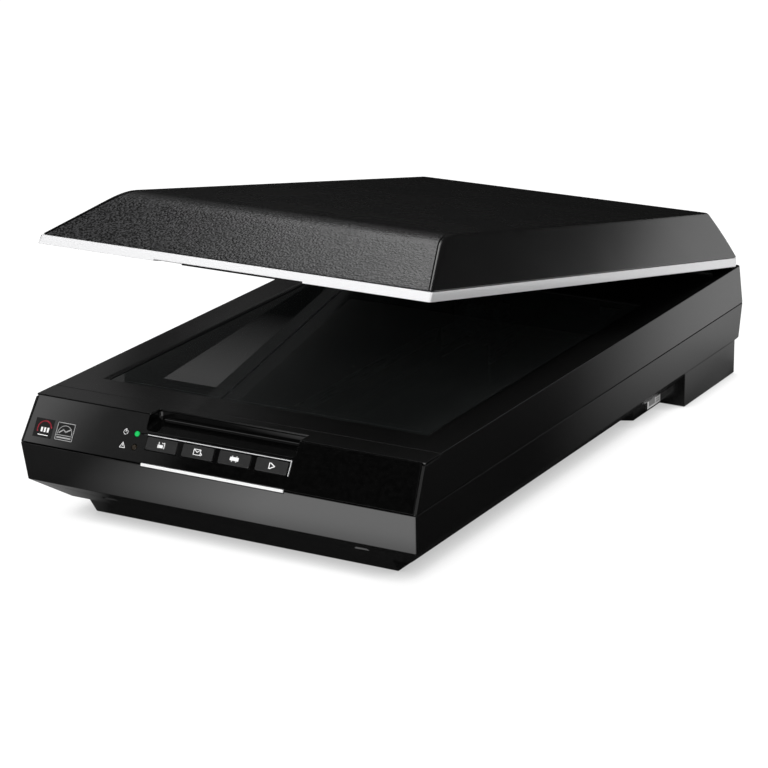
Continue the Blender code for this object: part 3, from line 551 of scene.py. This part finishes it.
def lid_cover():
    """The lid's shell, open below. Its sides and corners are smooth, and the rest is grained."""
    low, high = COVER_Z
    heights = [low, low + 0.5] + [low + COVER_RISE * share for share in (0.2, 0.4, 0.6)]
    bend_rise = CREST_BEND * math.sin(math.atan2(COVER_RISE, CREST_Y - RIM_FRONT[1]))
    heights += [high - bend_rise * (1 - step / 14) ** 2 for step in range(14)] + [high]
    outer = [cover_ring(z, groove=GROOVE) for z in heights]
    outer[0] = cover_ring(low, inset=0.3, groove=GROOVE)
    inner = [cover_ring(low, COVER_WALL), cover_ring(high - 8.0, COVER_WALL)]
    ceiling = [(x, y, high - COVER_WALL) for x, y, z in cover_ring(high - 3.0, COVER_WALL)]
    rings = outer[::-1] + inner + [ceiling]
    cover = loft("lid_cover_shell", [[risen(*point) for point in ring] for ring in rings])
    for side in (-1, 1):
        x = sorted((side * (POST_X - NOTCH_HALF_W), side * (POST_X + NOTCH_HALF_W)))
        cut(cover, box(x, (226.0, 245.0), (80.0, 90.9)))
    open_lid(cover)
    stand_for(cover, "lid_cover", lid_plastic())
    cover.data.materials.append(SATIN)
    for face in cover.data.polygons:
        middle = shut(face.center / MM)
        half_w, corner = cover_half_w(min(middle.z, high))
        beside_groove = abs(middle.x) > half_w - corner - 1.3
        face.material_index = 1 if beside_groove or abs(face.normal.x) > 0.35 else 0
    shade(cover, 24)


def lid_rim():
    """The silver band. Its front face leans further back than its sides."""
    rim = copy_of("lid_rim")
    low_y = min(shut(vert.co / MM).y for vert in rim.data.vertices)
    lean = RIM_FRONT[1] - RIM_FRONT[0] - CAD_RIM_DRAFT
    for vert in rim.data.vertices:
        point = shut(vert.co / MM)
        share = (point.z - RIM_Z[0]) / (RIM_Z[1] - RIM_Z[0])
        if point.y < low_y + 1.6:
            point.y += RIM_FRONT[0] - low_y + share * lean
            point.z += RIM_FRONT_LIFT * (1 - share)
        if abs(point.x) > RIM_HALF_W - 1.5:
            point.x += math.copysign(share * (CAD_RIM_DRAFT - RIM_DRAFT), point.x)
        vert.co = opened(point) * MM
    stand_for(soften(rim, 0.3), "lid_rim")
    rim.data.materials.append(SATIN)
    for face in rim.data.polygons:
        face.material_index = 1 if face.normal.z < -0.7 else 0
    # Painted shadow: a thin black strip under the rim's grip notch stands in for the shade line beneath the rim
    # there.
    lip_and_shadow_strip = box(GRIP_X, (RIM_FRONT[0] + 0.5, -217.5), (RIM_Z[0] + 0.5, RIM_Z[0] + 1.45), "lid_grip_shadow_strip")
    finish_piece(open_lid(soften(lip_and_shadow_strip, 0.2, 2)), "lid", SATIN)


def lid_inside():
    """The tray, the film light with its window, the document mat, the bumpers and the hinges."""
    refined("lid_tray", 0.4)
    refined("film_window", 0.3)
    refined("film_light_board", 0.12)
    refined("document_mat", 0.7, 3, material=MAT)
    for side in ("left", "right"):
        refined(f"{side}_lid_bumper", 0.3)
        refined(f"{side}_hinge_pin", 0.25)
        refined(f"{side}_hinge_post", 0.5, 3)


# ------------------------------------------------------------- front of the base

RECESS_HALF_W, RECESS_DOWN, RECESS_BACK = 53.0, 10.7, -215.0
PANEL_T = 1.8
BUTTON_PITCH, BUTTON_W, BUTTON_H, BUTTON_DOWN = 26.0, 22.0, 8.0, 18.1
BUTTON_PROUD = 0.7
LABEL_DOWN = 20.6
GAP = 0.3


def button_x(index):
    return (index - 1.5) * BUTTON_PITCH


def bevelled(obj, width, segments=4):
    """The same with every edge rounded, for a cutter whose corners leave fillets."""
    return soften(obj, width, segments, 20)


def control_panel():
    """The front's glossy panel, with the finger recess, the buttons' openings and the lights' holes."""
    _, high = span("control_panel")
    bottom = SLOPE_LENGTH - 0.7
    mitre = PANEL_T * INWARD.z / DOWN.z
    top_half_w = high.x - 2.9
    rows = ((0.35, top_half_w, 0.0), (bottom, high.x, 0.0), (bottom - mitre, high.x, PANEL_T),
            (2.4, top_half_w, PANEL_T))
    panel = loft("control_panel_face", [[facet(side * w, d, i) for d, w, i in rows] for side in (-1, 1)])
    lip_and_shadow_strip = facet(0, RECESS_DOWN + 0.9, 0.9)
    shoulder = facet(0, 2.2, 1.0)
    back = RECESS_BACK + PANEL_T
    tub = [(lip_and_shadow_strip.y, lip_and_shadow_strip.z), (-217.3, 69.9), (back, 73.6), (back, 78.1), (shoulder.y, 78.1)]
    join(panel, prism_x(tub, (-RECESS_HALF_W - PANEL_T, RECESS_HALF_W + PANEL_T)))
    floor = facet(0, RECESS_DOWN, 0)
    ahead = facet(0, RECESS_DOWN, -3)
    room = [(ahead.y - 20, ahead.z - 8), (floor.y, floor.z), (RECESS_BACK, 73.2)]
    room += [(RECESS_BACK, 95), (-270, 95)]
    cut(panel, bevelled(prism_x(room, (-RECESS_HALF_W, RECESS_HALF_W)), 2.4))
    for index in range(len(BUTTON_NAMES)):
        x = button_x(index)
        half_w, half_h = BUTTON_W / 2 + GAP, BUTTON_H / 2 + GAP
        down = BUTTON_DOWN - half_h, BUTTON_DOWN + half_h
        cut(panel, facet_block((x - half_w, x + half_w), down, (-1, 3)))
    for lens in ("power_light_lens", "error_light_lens"):
        low, high = span(lens)
        hole = rod((0, 0, 0), (high.x - low.x) / 2 + 0.2, "Z", (-4, 4))
        cut(panel, onto_slope(hole, (low.x + high.x) / 2, slope_down(lens)))
    bezel_grooves = ((-50.8, 51.8), (12.2, 13.7)), ((50.4, 51.8), (12.3, 22.7))
    for x, down in bezel_grooves:
        cut(panel, facet_block(x, down, (-1, 0.9)))
    accent_strip = (-50.8, 50.8), (SLOPE_LENGTH - 1.4, SLOPE_LENGTH + 1)
    cut(panel, facet_block(*accent_strip, (-1, 3)))
    soften(panel, 0.28, 3, 32)
    stand_for(panel, "control_panel")


def slope_down(node):
    """How far down the sloping front a node's middle lies."""
    low, high = span(node)
    middle = (low + high) / 2 - Vector((0, SLOPE_TOP_Y, TOP_Z))
    return middle.dot(DOWN)


def onto_slope(obj, x, down, inward=0.0):
    """Lays a piece drawn round the origin onto the sloping front: its X across, its Y up the slope."""
    place = Matrix((
        (1, 0, 0, facet(x, down, inward).x * MM),
        (0, -DOWN.y, -INWARD.y, facet(x, down, inward).y * MM),
        (0, -DOWN.z, -INWARD.z, facet(x, down, inward).z * MM),
        (0, 0, 0, 1),
    ))
    obj.data.transform(place)
    return obj


def button(index):
    """A cap with rounded edges and a faintly dished top, and the stem behind it."""
    x = button_x(index)
    rings = []
    for inset, level in ((0.0, -2.6), (0.0, 0.35), (0.08, 0.52), (0.25, 0.66), (0.5, BUTTON_PROUD),
                         (1.4, 0.62), (3.0, 0.55)):
        rings.append(rounded(BUTTON_W / 2 - inset, inset - BUTTON_H / 2, BUTTON_H / 2 - inset, level,
                             max(0.9 - inset * 0.25, 0.3), 4))
    cap = onto_slope(loft(BUTTON_NAMES[index] + "_cap", rings), x, BUTTON_DOWN)
    flange = (BUTTON_DOWN - BUTTON_H / 2 - 1, BUTTON_DOWN + BUTTON_H / 2 + 1)
    join(cap, facet_block((x - BUTTON_W / 2 - 1, x + BUTTON_W / 2 + 1), flange, (2.4, 3.4)))
    join(cap, facet_block((x - 3, x + 3), (BUTTON_DOWN - 1.5, BUTTON_DOWN + 1.5), (3.2, 7.0)))
    stand_for(cap, BUTTON_NAMES[index])
    shade(cap, 50)


# Printed marks are drawn as flat strokes: (x, y) in millimetres, Y up, on the face they are put on.


def grown(outlines, times):
    """The same outlines, larger."""
    return [[(x * times, y * times) for x, y in outline] for outline in outlines]


def stroke(points, width, closed=False):
    """Quads along a line, each end square, as outlines."""
    count = len(points)
    pieces = []
    for i in range(count if closed else count - 1):
        a, b = Vector(points[i]), Vector(points[(i + 1) % count])
        along = (b - a).normalized() * width / 2
        across = Vector((-along.y, along.x))
        pieces.append([a - along + across, a - along - across, b + along - across, b + along + across])
    return pieces


def arc(centre, radius, start, end, steps=16):
    turns = [math.radians(start + (end - start) * step / steps) for step in range(steps + 1)]
    return [(centre[0] + radius * math.cos(t), centre[1] + radius * math.sin(t)) for t in turns]


def rectangle(x, y):
    return [(x[0], y[0]), (x[1], y[0]), (x[1], y[1]), (x[0], y[1])]


def page_icon():
    page = [(-1.5, 2.4), (-1.5, -2.2), (1.7, -2.2), (1.7, 1.2), (0.5, 2.4)]
    folded_corner = [(0.4, 2.3), (0.4, 1.1), (1.6, 1.1)]
    return stroke(page, 0.36, True) + stroke(folded_corner, 0.3) + [rectangle((-2.1, 1.0), (-1.3, 0.2))]


def envelope_icon():
    frame_line = rectangle((-2.2, 1.6), (-1.4, 1.4))
    flap = [(-2.2, 1.4), (-0.3, -0.1), (1.6, 1.4)]
    arrow = [(1.5, -1.9), (2.7, -0.9), (1.5, 0.1)]
    return stroke(frame_line, 0.4, True) + stroke(flap, 0.36) + stroke(arrow, 0.36)


def copier_icon():
    sheet = [(-1.2, 0.8), (-1.2, 2.3), (1.2, 2.3), (1.2, 0.8)]
    case = [rectangle((-2.4, 2.4), (-0.9, 0.9))]
    out = [(-1.2, -0.9), (-1.2, -2.3), (1.2, -2.3), (1.2, -0.9)]
    return stroke(sheet, 0.36) + case + stroke(out, 0.36)


def start_icon():
    return stroke([(-1.2, 1.7), (-1.2, -1.7), (1.7, 0.0)], 0.5, True)


def power_icon():
    return stroke(arc((0, 0), 1.5, 120, 420), 0.36) + stroke([(0, 0.2), (0, 2.0)], 0.38)


def warning_icon():
    mark = stroke([(0, 0.75), (0, -0.25)], 0.36) + stroke([(0, -0.75), (0, -0.85)], 0.36)
    return stroke([(-1.9, -1.5), (1.9, -1.5), (0, 1.9)], 0.34, True) + mark


def print_on(name, outlines, thickness=0.03):
    """One flat mark, of a low plate for each outline."""
    points, faces = [], []
    for outline in outlines:
        start = len(points)
        count = len(outline)
        points += [(*p, level) for level in (-thickness, thickness) for p in outline]
        faces += [tuple(start + i for i in range(count)), tuple(start + count + i for i in range(count))]
        faces += [(start + i, start + (i + 1) % count, start + count + (i + 1) % count, start + count + i)
                  for i in range(count)]
    return mesh_object(name, points, faces)


def front_prints():
    """A symbol on each button and beside each light."""
    for index, icon in enumerate((page_icon, envelope_icon, copier_icon, start_icon)):
        name = BUTTON_NAMES[index]
        mark = print_on(name + "_icon", grown(icon(), 1.25))
        onto_slope(mark, button_x(index), BUTTON_DOWN, -0.56)
        finish_piece(mark, name, PRINT)
    for name, icon, lens in (("power_icon", power_icon, "power_light_lens"),
                             ("warning_icon", warning_icon, "error_light_lens")):
        mark = onto_slope(print_on(name, icon()), -66.5, slope_down(lens), 0.0)
        finish_piece(mark, "base", PRINT)


def front_labels():
    """Two small plain labels at the left end of the front, with neutral bars in place of any mark."""
    for number, x in enumerate((-125.5, -109.5), 1):
        plate = print_on(f"front_label_{number}", [rectangle((-6.9, 6.9), (-6.0, 6.0))], 0.06)
        onto_slope(plate, x, LABEL_DOWN)
        finish_piece(plate, "base", SHADE_PRINT)
        if number == 1:
            marks = [rectangle((left, left + 1.3), (-2.4, 0.6)) for left in (-1.8, 0.5, 2.8)]
            marks.append(rectangle((-3.4, 4.2), (-4.6, -4.1)))
            ring = print_on("front_label_ring", stroke(arc((0.6, -0.4), 5.0, 15, 200, 20), 0.8))
            finish_piece(onto_slope(ring, x, LABEL_DOWN, -0.06), "base", RED_PRINT)
        else:
            marks = stroke(rectangle((-6.3, 6.3), (-5.4, 5.4)), 0.45, True)
            marks += stroke(arc((0, -1.4), 5.2, 0, 180), 0.5)
            marks += stroke([(-6.3, -2.4), (6.3, -2.4)], 0.4) + stroke([(-4.8, -3.9), (4.8, -3.9)], 0.9)
            marks += stroke([(-4.0, -0.9), (-1.4, 1.2), (0.6, -0.2), (4.0, 1.9)], 0.8)
        bars = onto_slope(print_on(f"front_label_{number}_print", marks), x, LABEL_DOWN, -0.06)
        finish_piece(bars, "base", PRINT if number == 1 else DIM_PRINT)


def front():
    """Everything on the sloping front: the panel, its prints and labels, the trims, lights and buttons."""
    control_panel()
    front_prints()
    front_labels()
    refined("front_trim", 0.25)
    refined("button_bezel", 0.12)
    refined("seam_accent_strip", 0.25)
    refined("power_light_lens", 0.5, 3)
    refined("error_light_lens", 0.5, 3)
    refined("button_board", 0.12)
    for index in range(len(BUTTON_NAMES)):
        button(index)


# ---------------------------------------------------------------- base casings


def casings():
    """The two casings with their feet and screws. The bed's edge slopes down to the glass, and more at
    its sides than at its ends. The lower casing's foot blocks reach down to just above the floor."""
    lower = refined("lower_casing", 0.4)
    for vert in lower.data.vertices:
        if vert.co.z < 1.6 * MM:
            vert.co.z -= 0.6 * MM
    rings = []
    for side, end, z in ((3.4, 1.0, TOP_Z + 0.3), (0.0, 0.0, GLASS_HIGH.z + 0.05)):
        left, right = GLASS_LOW.x - GAP - side, GLASS_HIGH.x + GAP + side
        near, far = GLASS_LOW.y - GAP - end, GLASS_HIGH.y + GAP + end
        rings.append([(left, near, z), (right, near, z), (right, far, z), (left, far, z)])
    refined("upper_casing", 0.45, 2, [loft("bed_edge", rings)])
    for side in ("left", "right"):
        refined(f"front_{side}_foot", 0.25)
        refined(f"rear_{side}_foot", 0.25)
    for number in range(1, 5):
        refined(f"casing_screw_{number}", 0.12)


def bed():
    """The glass, the black border printed under its edge, and the white strip beyond the bed."""
    refined("platen_glass", 0.3)
    edge, inset = 7.0, 0.5
    low, high = GLASS_LOW + Vector((inset, inset, 0)), GLASS_HIGH - Vector((inset, inset, 0))
    border = box((low.x, high.x), (low.y, high.y), (low.z - 0.18, low.z - 0.08), "glass_print_border")
    cut(border, box((low.x + edge, high.x - edge), (low.y + edge, high.y - edge), (0, 99)))
    finish_piece(border, "base", GLOSS)
    refined("calibration_strip", 0.05)


def rating_label():
    """The label on the right side, with neutral bars in place of its print."""
    refined("rating_label", 0.06)
    low, high = span("rating_label")
    face = high.x + 0.02
    bars = [rectangle((2.0, 12.0), (1.5, 6.6))]
    bars += [rectangle((13.5, 19.5), (y, y + 0.8)) for y in (1.6, 3.2, 4.8)]
    mark = print_on("rating_label_print", bars, 0.02)
    corner = Vector((face, low.y, low.z)) * MM
    mark.data.transform(Matrix(((0, 0, 1, corner.x), (1, 0, 0, corner.y), (0, 1, 0, corner.z), (0, 0, 0, 1))))
    finish_piece(mark, "base", DIM_PRINT)


def inside_base():
    """The drive, the carriage, the boards and the sockets, by how far their edges are rounded."""
    widths = {
        0.08: ("lower_mirror", "front_mirror", "upper_mirror"),
        0.12: ("sensor_board",),
        0.15: ("motor_pulley", "idler_pulley", "main_board"),
        0.2: ("slide_rail", "motor_bracket", "idler_bracket", "usb_port", "carriage_lamp", "belt_clamp"),
        0.3: ("power_inlet", "film_adapter_port", "transport_lock", "lens", "slide_pad"),
        0.4: ("rod_bushing",),
        0.5: ("guide_rod", "carriage_frame"),
        0.6: ("stepper_motor",),
    }
    for width, nodes in widths.items():
        for node in nodes:
            refined(node, width)


def sockets():
    """The contacts inside the three sockets at the back."""
    low, high = span("power_inlet")
    x, z = (low.x + high.x) / 2, (low.z + high.z) / 2
    pin = soften(rod((x, 0, z), 0.9, "Y", (228.5, 238.5), "power_inlet_pin"), 0.4, 3)
    finish_piece(pin, "base", STEEL)
    low, high = span("usb_port")
    x, z = (low.x + high.x) / 2, (low.z + high.z) / 2
    tongue = box((x - 2.8, x + 2.8), (230.5, 239.0), (z - 1.6, z + 1.6), "usb_port_tongue")
    finish_piece(soften(tongue, 0.4, 3), "base", SOCKET)
    low, high = span("film_adapter_port")
    middle = (low.z + high.z) / 2
    for row, z in enumerate((middle - 1.3, middle + 1.3), 1):
        pins = [box((x - 0.35, x + 0.35), (230.5, 238.0), (z - 0.35, z + 0.35))
                for x in (low.x + 4.2 + 2.2 * i for i in range(9))]
        name = f"film_adapter_pins_{row}"
        bar = box((low.x + 2.6, high.x - 2.6), (230.6, 231.4), (z - 0.6, z + 0.6), name)
        join(bar, *pins)
        finish_piece(soften(bar, 0.08, 1), "base", STEEL)


def remaining_nodes():
    """Every CAD node that still shows takes its scene material."""
    for node, obj in frame["nodes"].items():
        if not obj.hide_render:
            obj.data.materials.clear()
            obj.data.materials.append(LOOKS[SLOTS[node]])


# ------------------------------------------------------- floor, light and camera


WHITE_OUT = 1.12  # strength at which the floor and the background come out white


def product(tree, first, *others):
    for other in others:
        first = arithmetic(tree, "MULTIPLY", first, other)
    return first


def floor_glow(tree, coords):
    """How brightly the floor reflects in the object, as a studio floor with lit and dark patches: under
    the front's right half, right of the object and behind it, under its left edge, and behind its back."""
    parts = split(tree, coords)
    across, along = parts["X"], parts["Y"]
    slant = arithmetic(tree, "ADD", along, arithmetic(tree, "MULTIPLY", across, -2.0))
    beside = ranged(tree, slant, 0.0, 1.0, (-0.36, -0.05))
    beside.node.interpolation_type = "SMOOTHSTEP"
    patches = (
        (ranged(tree, across, 0.04, 1.0, (-0.14, 0.0)), ranged(tree, along, 1.0, 0.0, (-0.285, -0.245)),
         1.85),
        (beside, ranged(tree, across, 0.0, 1.0, (0.12, 0.235)), 0.99),
        (ranged(tree, across, 1.0, 0.0, (-0.185, -0.10)), ranged(tree, along, 0.0, 1.0, (-0.262, -0.24)),
         ranged(tree, along, 1.0, 0.0, (0.1, 0.4)), 0.65),
        (ranged(tree, across, 1.0, 0.0, (0.1, 0.2)), ranged(tree, along, 0.0, 1.0, (0.26, 0.32)),
         ranged(tree, along, 1.0, 0.0, (0.45, 0.65)), 0.5),
    )
    total = 0.0
    for patch in patches:
        total = arithmetic(tree, "ADD", total, product(tree, *patch))
    return total


def pale_floor():
    """A plain pale floor with a faint shadow where the object stands on it."""
    size = 1.6
    points = [(-size, -size, 0), (size, -size, 0), (size, size, 0), (-size, size, 0)]
    mesh = bpy.data.meshes.new("floor")
    mesh.from_pydata(points, [], [(0, 1, 2, 3)])
    floor = linked("floor", mesh)
    material, tree, shader, coords = new_material("pale_floor")
    shader.inputs["Base Color"].default_value = (0.93, 0.93, 0.93, 1)
    shader.inputs["Roughness"].default_value = 0.9
    shader.inputs["Specular IOR Level"].default_value = 0.0
    glow = tree.nodes.new("ShaderNodeEmission")
    tree.links.new(floor_glow(tree, coords), glow.inputs["Strength"])
    white = tree.nodes.new("ShaderNodeEmission")
    nearby = tree.nodes.new("ShaderNodeAmbientOcclusion")
    nearby.inputs["Distance"].default_value = 0.016
    nearby.samples = 8
    shadow = ranged(tree, nearby.outputs["AO"], 0.55, WHITE_OUT, (0.2, 0.85))
    tree.links.new(shadow, white.inputs["Strength"])
    seen = tree.nodes.new("ShaderNodeMixShader")
    seen.inputs["Fac"].default_value = 0.85
    tree.links.new(shader.outputs["BSDF"], seen.inputs[1])
    tree.links.new(white.outputs["Emission"], seen.inputs[2])
    rays = tree.nodes.new("ShaderNodeLightPath")
    mix = tree.nodes.new("ShaderNodeMixShader")
    tree.links.new(rays.outputs["Is Glossy Ray"], mix.inputs["Fac"])
    tree.links.new(seen.outputs["Shader"], mix.inputs[1])
    tree.links.new(glow.outputs["Emission"], mix.inputs[2])
    tree.links.new(mix.outputs["Shader"], tree.nodes["Material Output"].inputs["Surface"])
    mesh.materials.append(material)


def card(name, corners, strength, falloff=None):
    """A glowing card that shows only in reflections. The falloff says along which axis, to which share
    of its strength, and from where to where it fades."""
    mesh = bpy.data.meshes.new(name)
    mesh.from_pydata(corners, [], [tuple(range(len(corners)))])
    made = linked(name, mesh)
    material, tree, _, coords = new_material(name)
    glow = tree.nodes.new("ShaderNodeEmission")
    glow.inputs["Strength"].default_value = strength
    if falloff:
        axis, share, *reach = falloff
        fade = ranged(tree, split(tree, coords)[axis], strength, strength * share, reach)
        tree.links.new(fade, glow.inputs["Strength"])
    tree.links.new(glow.outputs["Emission"], tree.nodes["Material Output"].inputs["Surface"])
    mesh.materials.append(material)
    made.visible_camera = made.visible_diffuse = made.visible_shadow = made.visible_transmission = False


def sky():
    """White behind the object, even light for its shading, and in its gloss a dark room that is paler at
    the right and in front."""
    world = bpy.data.worlds.new("studio")
    bpy.context.scene.world = world
    world.use_nodes = True
    tree = world.node_tree
    parts = split(tree, tree.nodes.new("ShaderNodeTexCoord").outputs["Generated"])
    rays = tree.nodes.new("ShaderNodeLightPath")
    room = tree.nodes["Background"]
    front = arithmetic(tree, "MULTIPLY", ranged(tree, parts["X"], 0.0, 0.3, (-0.36, -0.1)),
                       ranged(tree, parts["Y"], 1.0, 0.0, (-0.6, -0.2)))
    right = ranged(tree, parts["X"], 0.013, 0.4, (0.45, 0.95))
    tree.links.new(arithmetic(tree, "MAXIMUM", front, right), room.inputs["Strength"])
    found = room.outputs["Background"]
    for name, ray, strength in (("fill", "Is Diffuse Ray", 0.35), ("backdrop", "Is Camera Ray", WHITE_OUT)):
        plain = tree.nodes.new("ShaderNodeBackground")
        plain.name = name
        plain.inputs["Color"].default_value = (1, 1, 1, 1)
        plain.inputs["Strength"].default_value = strength
        mix = tree.nodes.new("ShaderNodeMixShader")
        tree.links.new(rays.outputs[ray], mix.inputs["Fac"])
        tree.links.new(found, mix.inputs[1])
        tree.links.new(plain.outputs["Background"], mix.inputs[2])
        found = mix.outputs["Shader"]
    room.inputs["Color"].default_value = (1, 1, 1, 1)
    tree.links.new(found, tree.nodes["World Output"].inputs["Surface"])


def softbox(name, place, aim, size, power):
    """A soft light that shades the object without showing in its gloss."""
    light = bpy.data.lights.new(name, "AREA")
    light.shape = "RECTANGLE"
    light.size, light.size_y = size
    light.energy = power
    lamp = linked(name, light)
    lamp.location = place
    lamp.rotation_euler = (Vector(aim) - Vector(place)).to_track_quat("-Z", "Y").to_euler()
    lamp.visible_camera = lamp.visible_glossy = False


def lights():
    """Two softboxes, and the cards that each face of the object mirrors. The cards are far from the
    object, and each one is named after what it shows in."""
    softbox("overhead", (0.1, -0.1, 2.3), (0, 0, 0), (2.2, 2.2), 62.0)
    softbox("front_key", (-0.5, -2.0, 1.0), (0, 0, 0.1), (1.4, 1.0), 18.0)
    card("slope_card", [(-0.80, 0.5, 1.45), (-0.44, 0.7, 1.5), (-0.44, 0.85, 1.0), (-0.80, 0.8, 0.95)],
         2.2, ("X", 0.3, -0.52, -0.78))
    card("panel_card", [(-1.35, -1.2, 0.70), (-0.79, -1.2, 0.78), (-0.80, -1.2, 1.0), (-1.35, -1.2, 1.0)],
         2.0, ("X", 0.16, -0.99, -0.90))
    card("side_card", [(0.12, 1.0, 0.0), (1.2, 1.0, 0.0), (1.2, 1.0, 0.22), (0.12, 1.0, 0.30)], 0.8)
    card("glass_card", [(-1.003, 1.2, 0.615), (-0.6, 1.2, 0.615), (-0.6, 1.2, 0.33)],
         0.36, ("Z", 0.0, 0.60, 0.51))
    card("glass_room", [(-1.9, 1.3, 0.75), (-0.4, 1.3, 0.75), (-0.4, 1.3, 0.40), (-1.9, 1.3, 0.40)], 0.035)
    card("rim_card", [(-1.6, -0.95, 1.8), (-0.1, -0.95, 1.8), (-0.1, -0.35, 1.8), (-1.6, -0.35, 1.8)], 1.0)
    card("margin_card", [(-1.7, 1.2, 0.5), (-1.06, 1.2, 0.5), (-1.06, 1.2, 0.8), (-1.7, 1.2, 0.8)], 0.2)


def camera():
    """From the front right and above, turned a little about its own axis."""
    eye = Vector((0.9190, -1.6541, 0.6662))
    yaw, pitch, roll = math.radians(29.511), math.radians(18.291), math.radians(-0.586)
    ahead = Vector((-math.sin(yaw) * math.cos(pitch), math.cos(yaw) * math.cos(pitch), -math.sin(pitch)))
    level = Vector((math.cos(yaw), math.sin(yaw), 0))
    above = level.cross(ahead)
    right = level * math.cos(roll) + above * math.sin(roll)
    up = above * math.cos(roll) - level * math.sin(roll)
    data = bpy.data.cameras.new("camera")
    data.lens = 140.03
    data.sensor_width = 36.0
    data.clip_start, data.clip_end = 0.05, 50.0
    made = linked("camera", data)
    rows = [[right[i], up[i], -ahead[i], eye[i]] for i in range(3)] + [[0, 0, 0, 1]]
    made.matrix_world = Matrix(rows)
    bpy.context.scene.camera = made


bpy.context.scene.view_settings.view_transform = "Standard"
lid_cover()
lid_rim()
lid_inside()
front()
casings()
bed()
rating_label()
inside_base()
sockets()
remaining_nodes()
pale_floor()
sky()
lights()
camera()
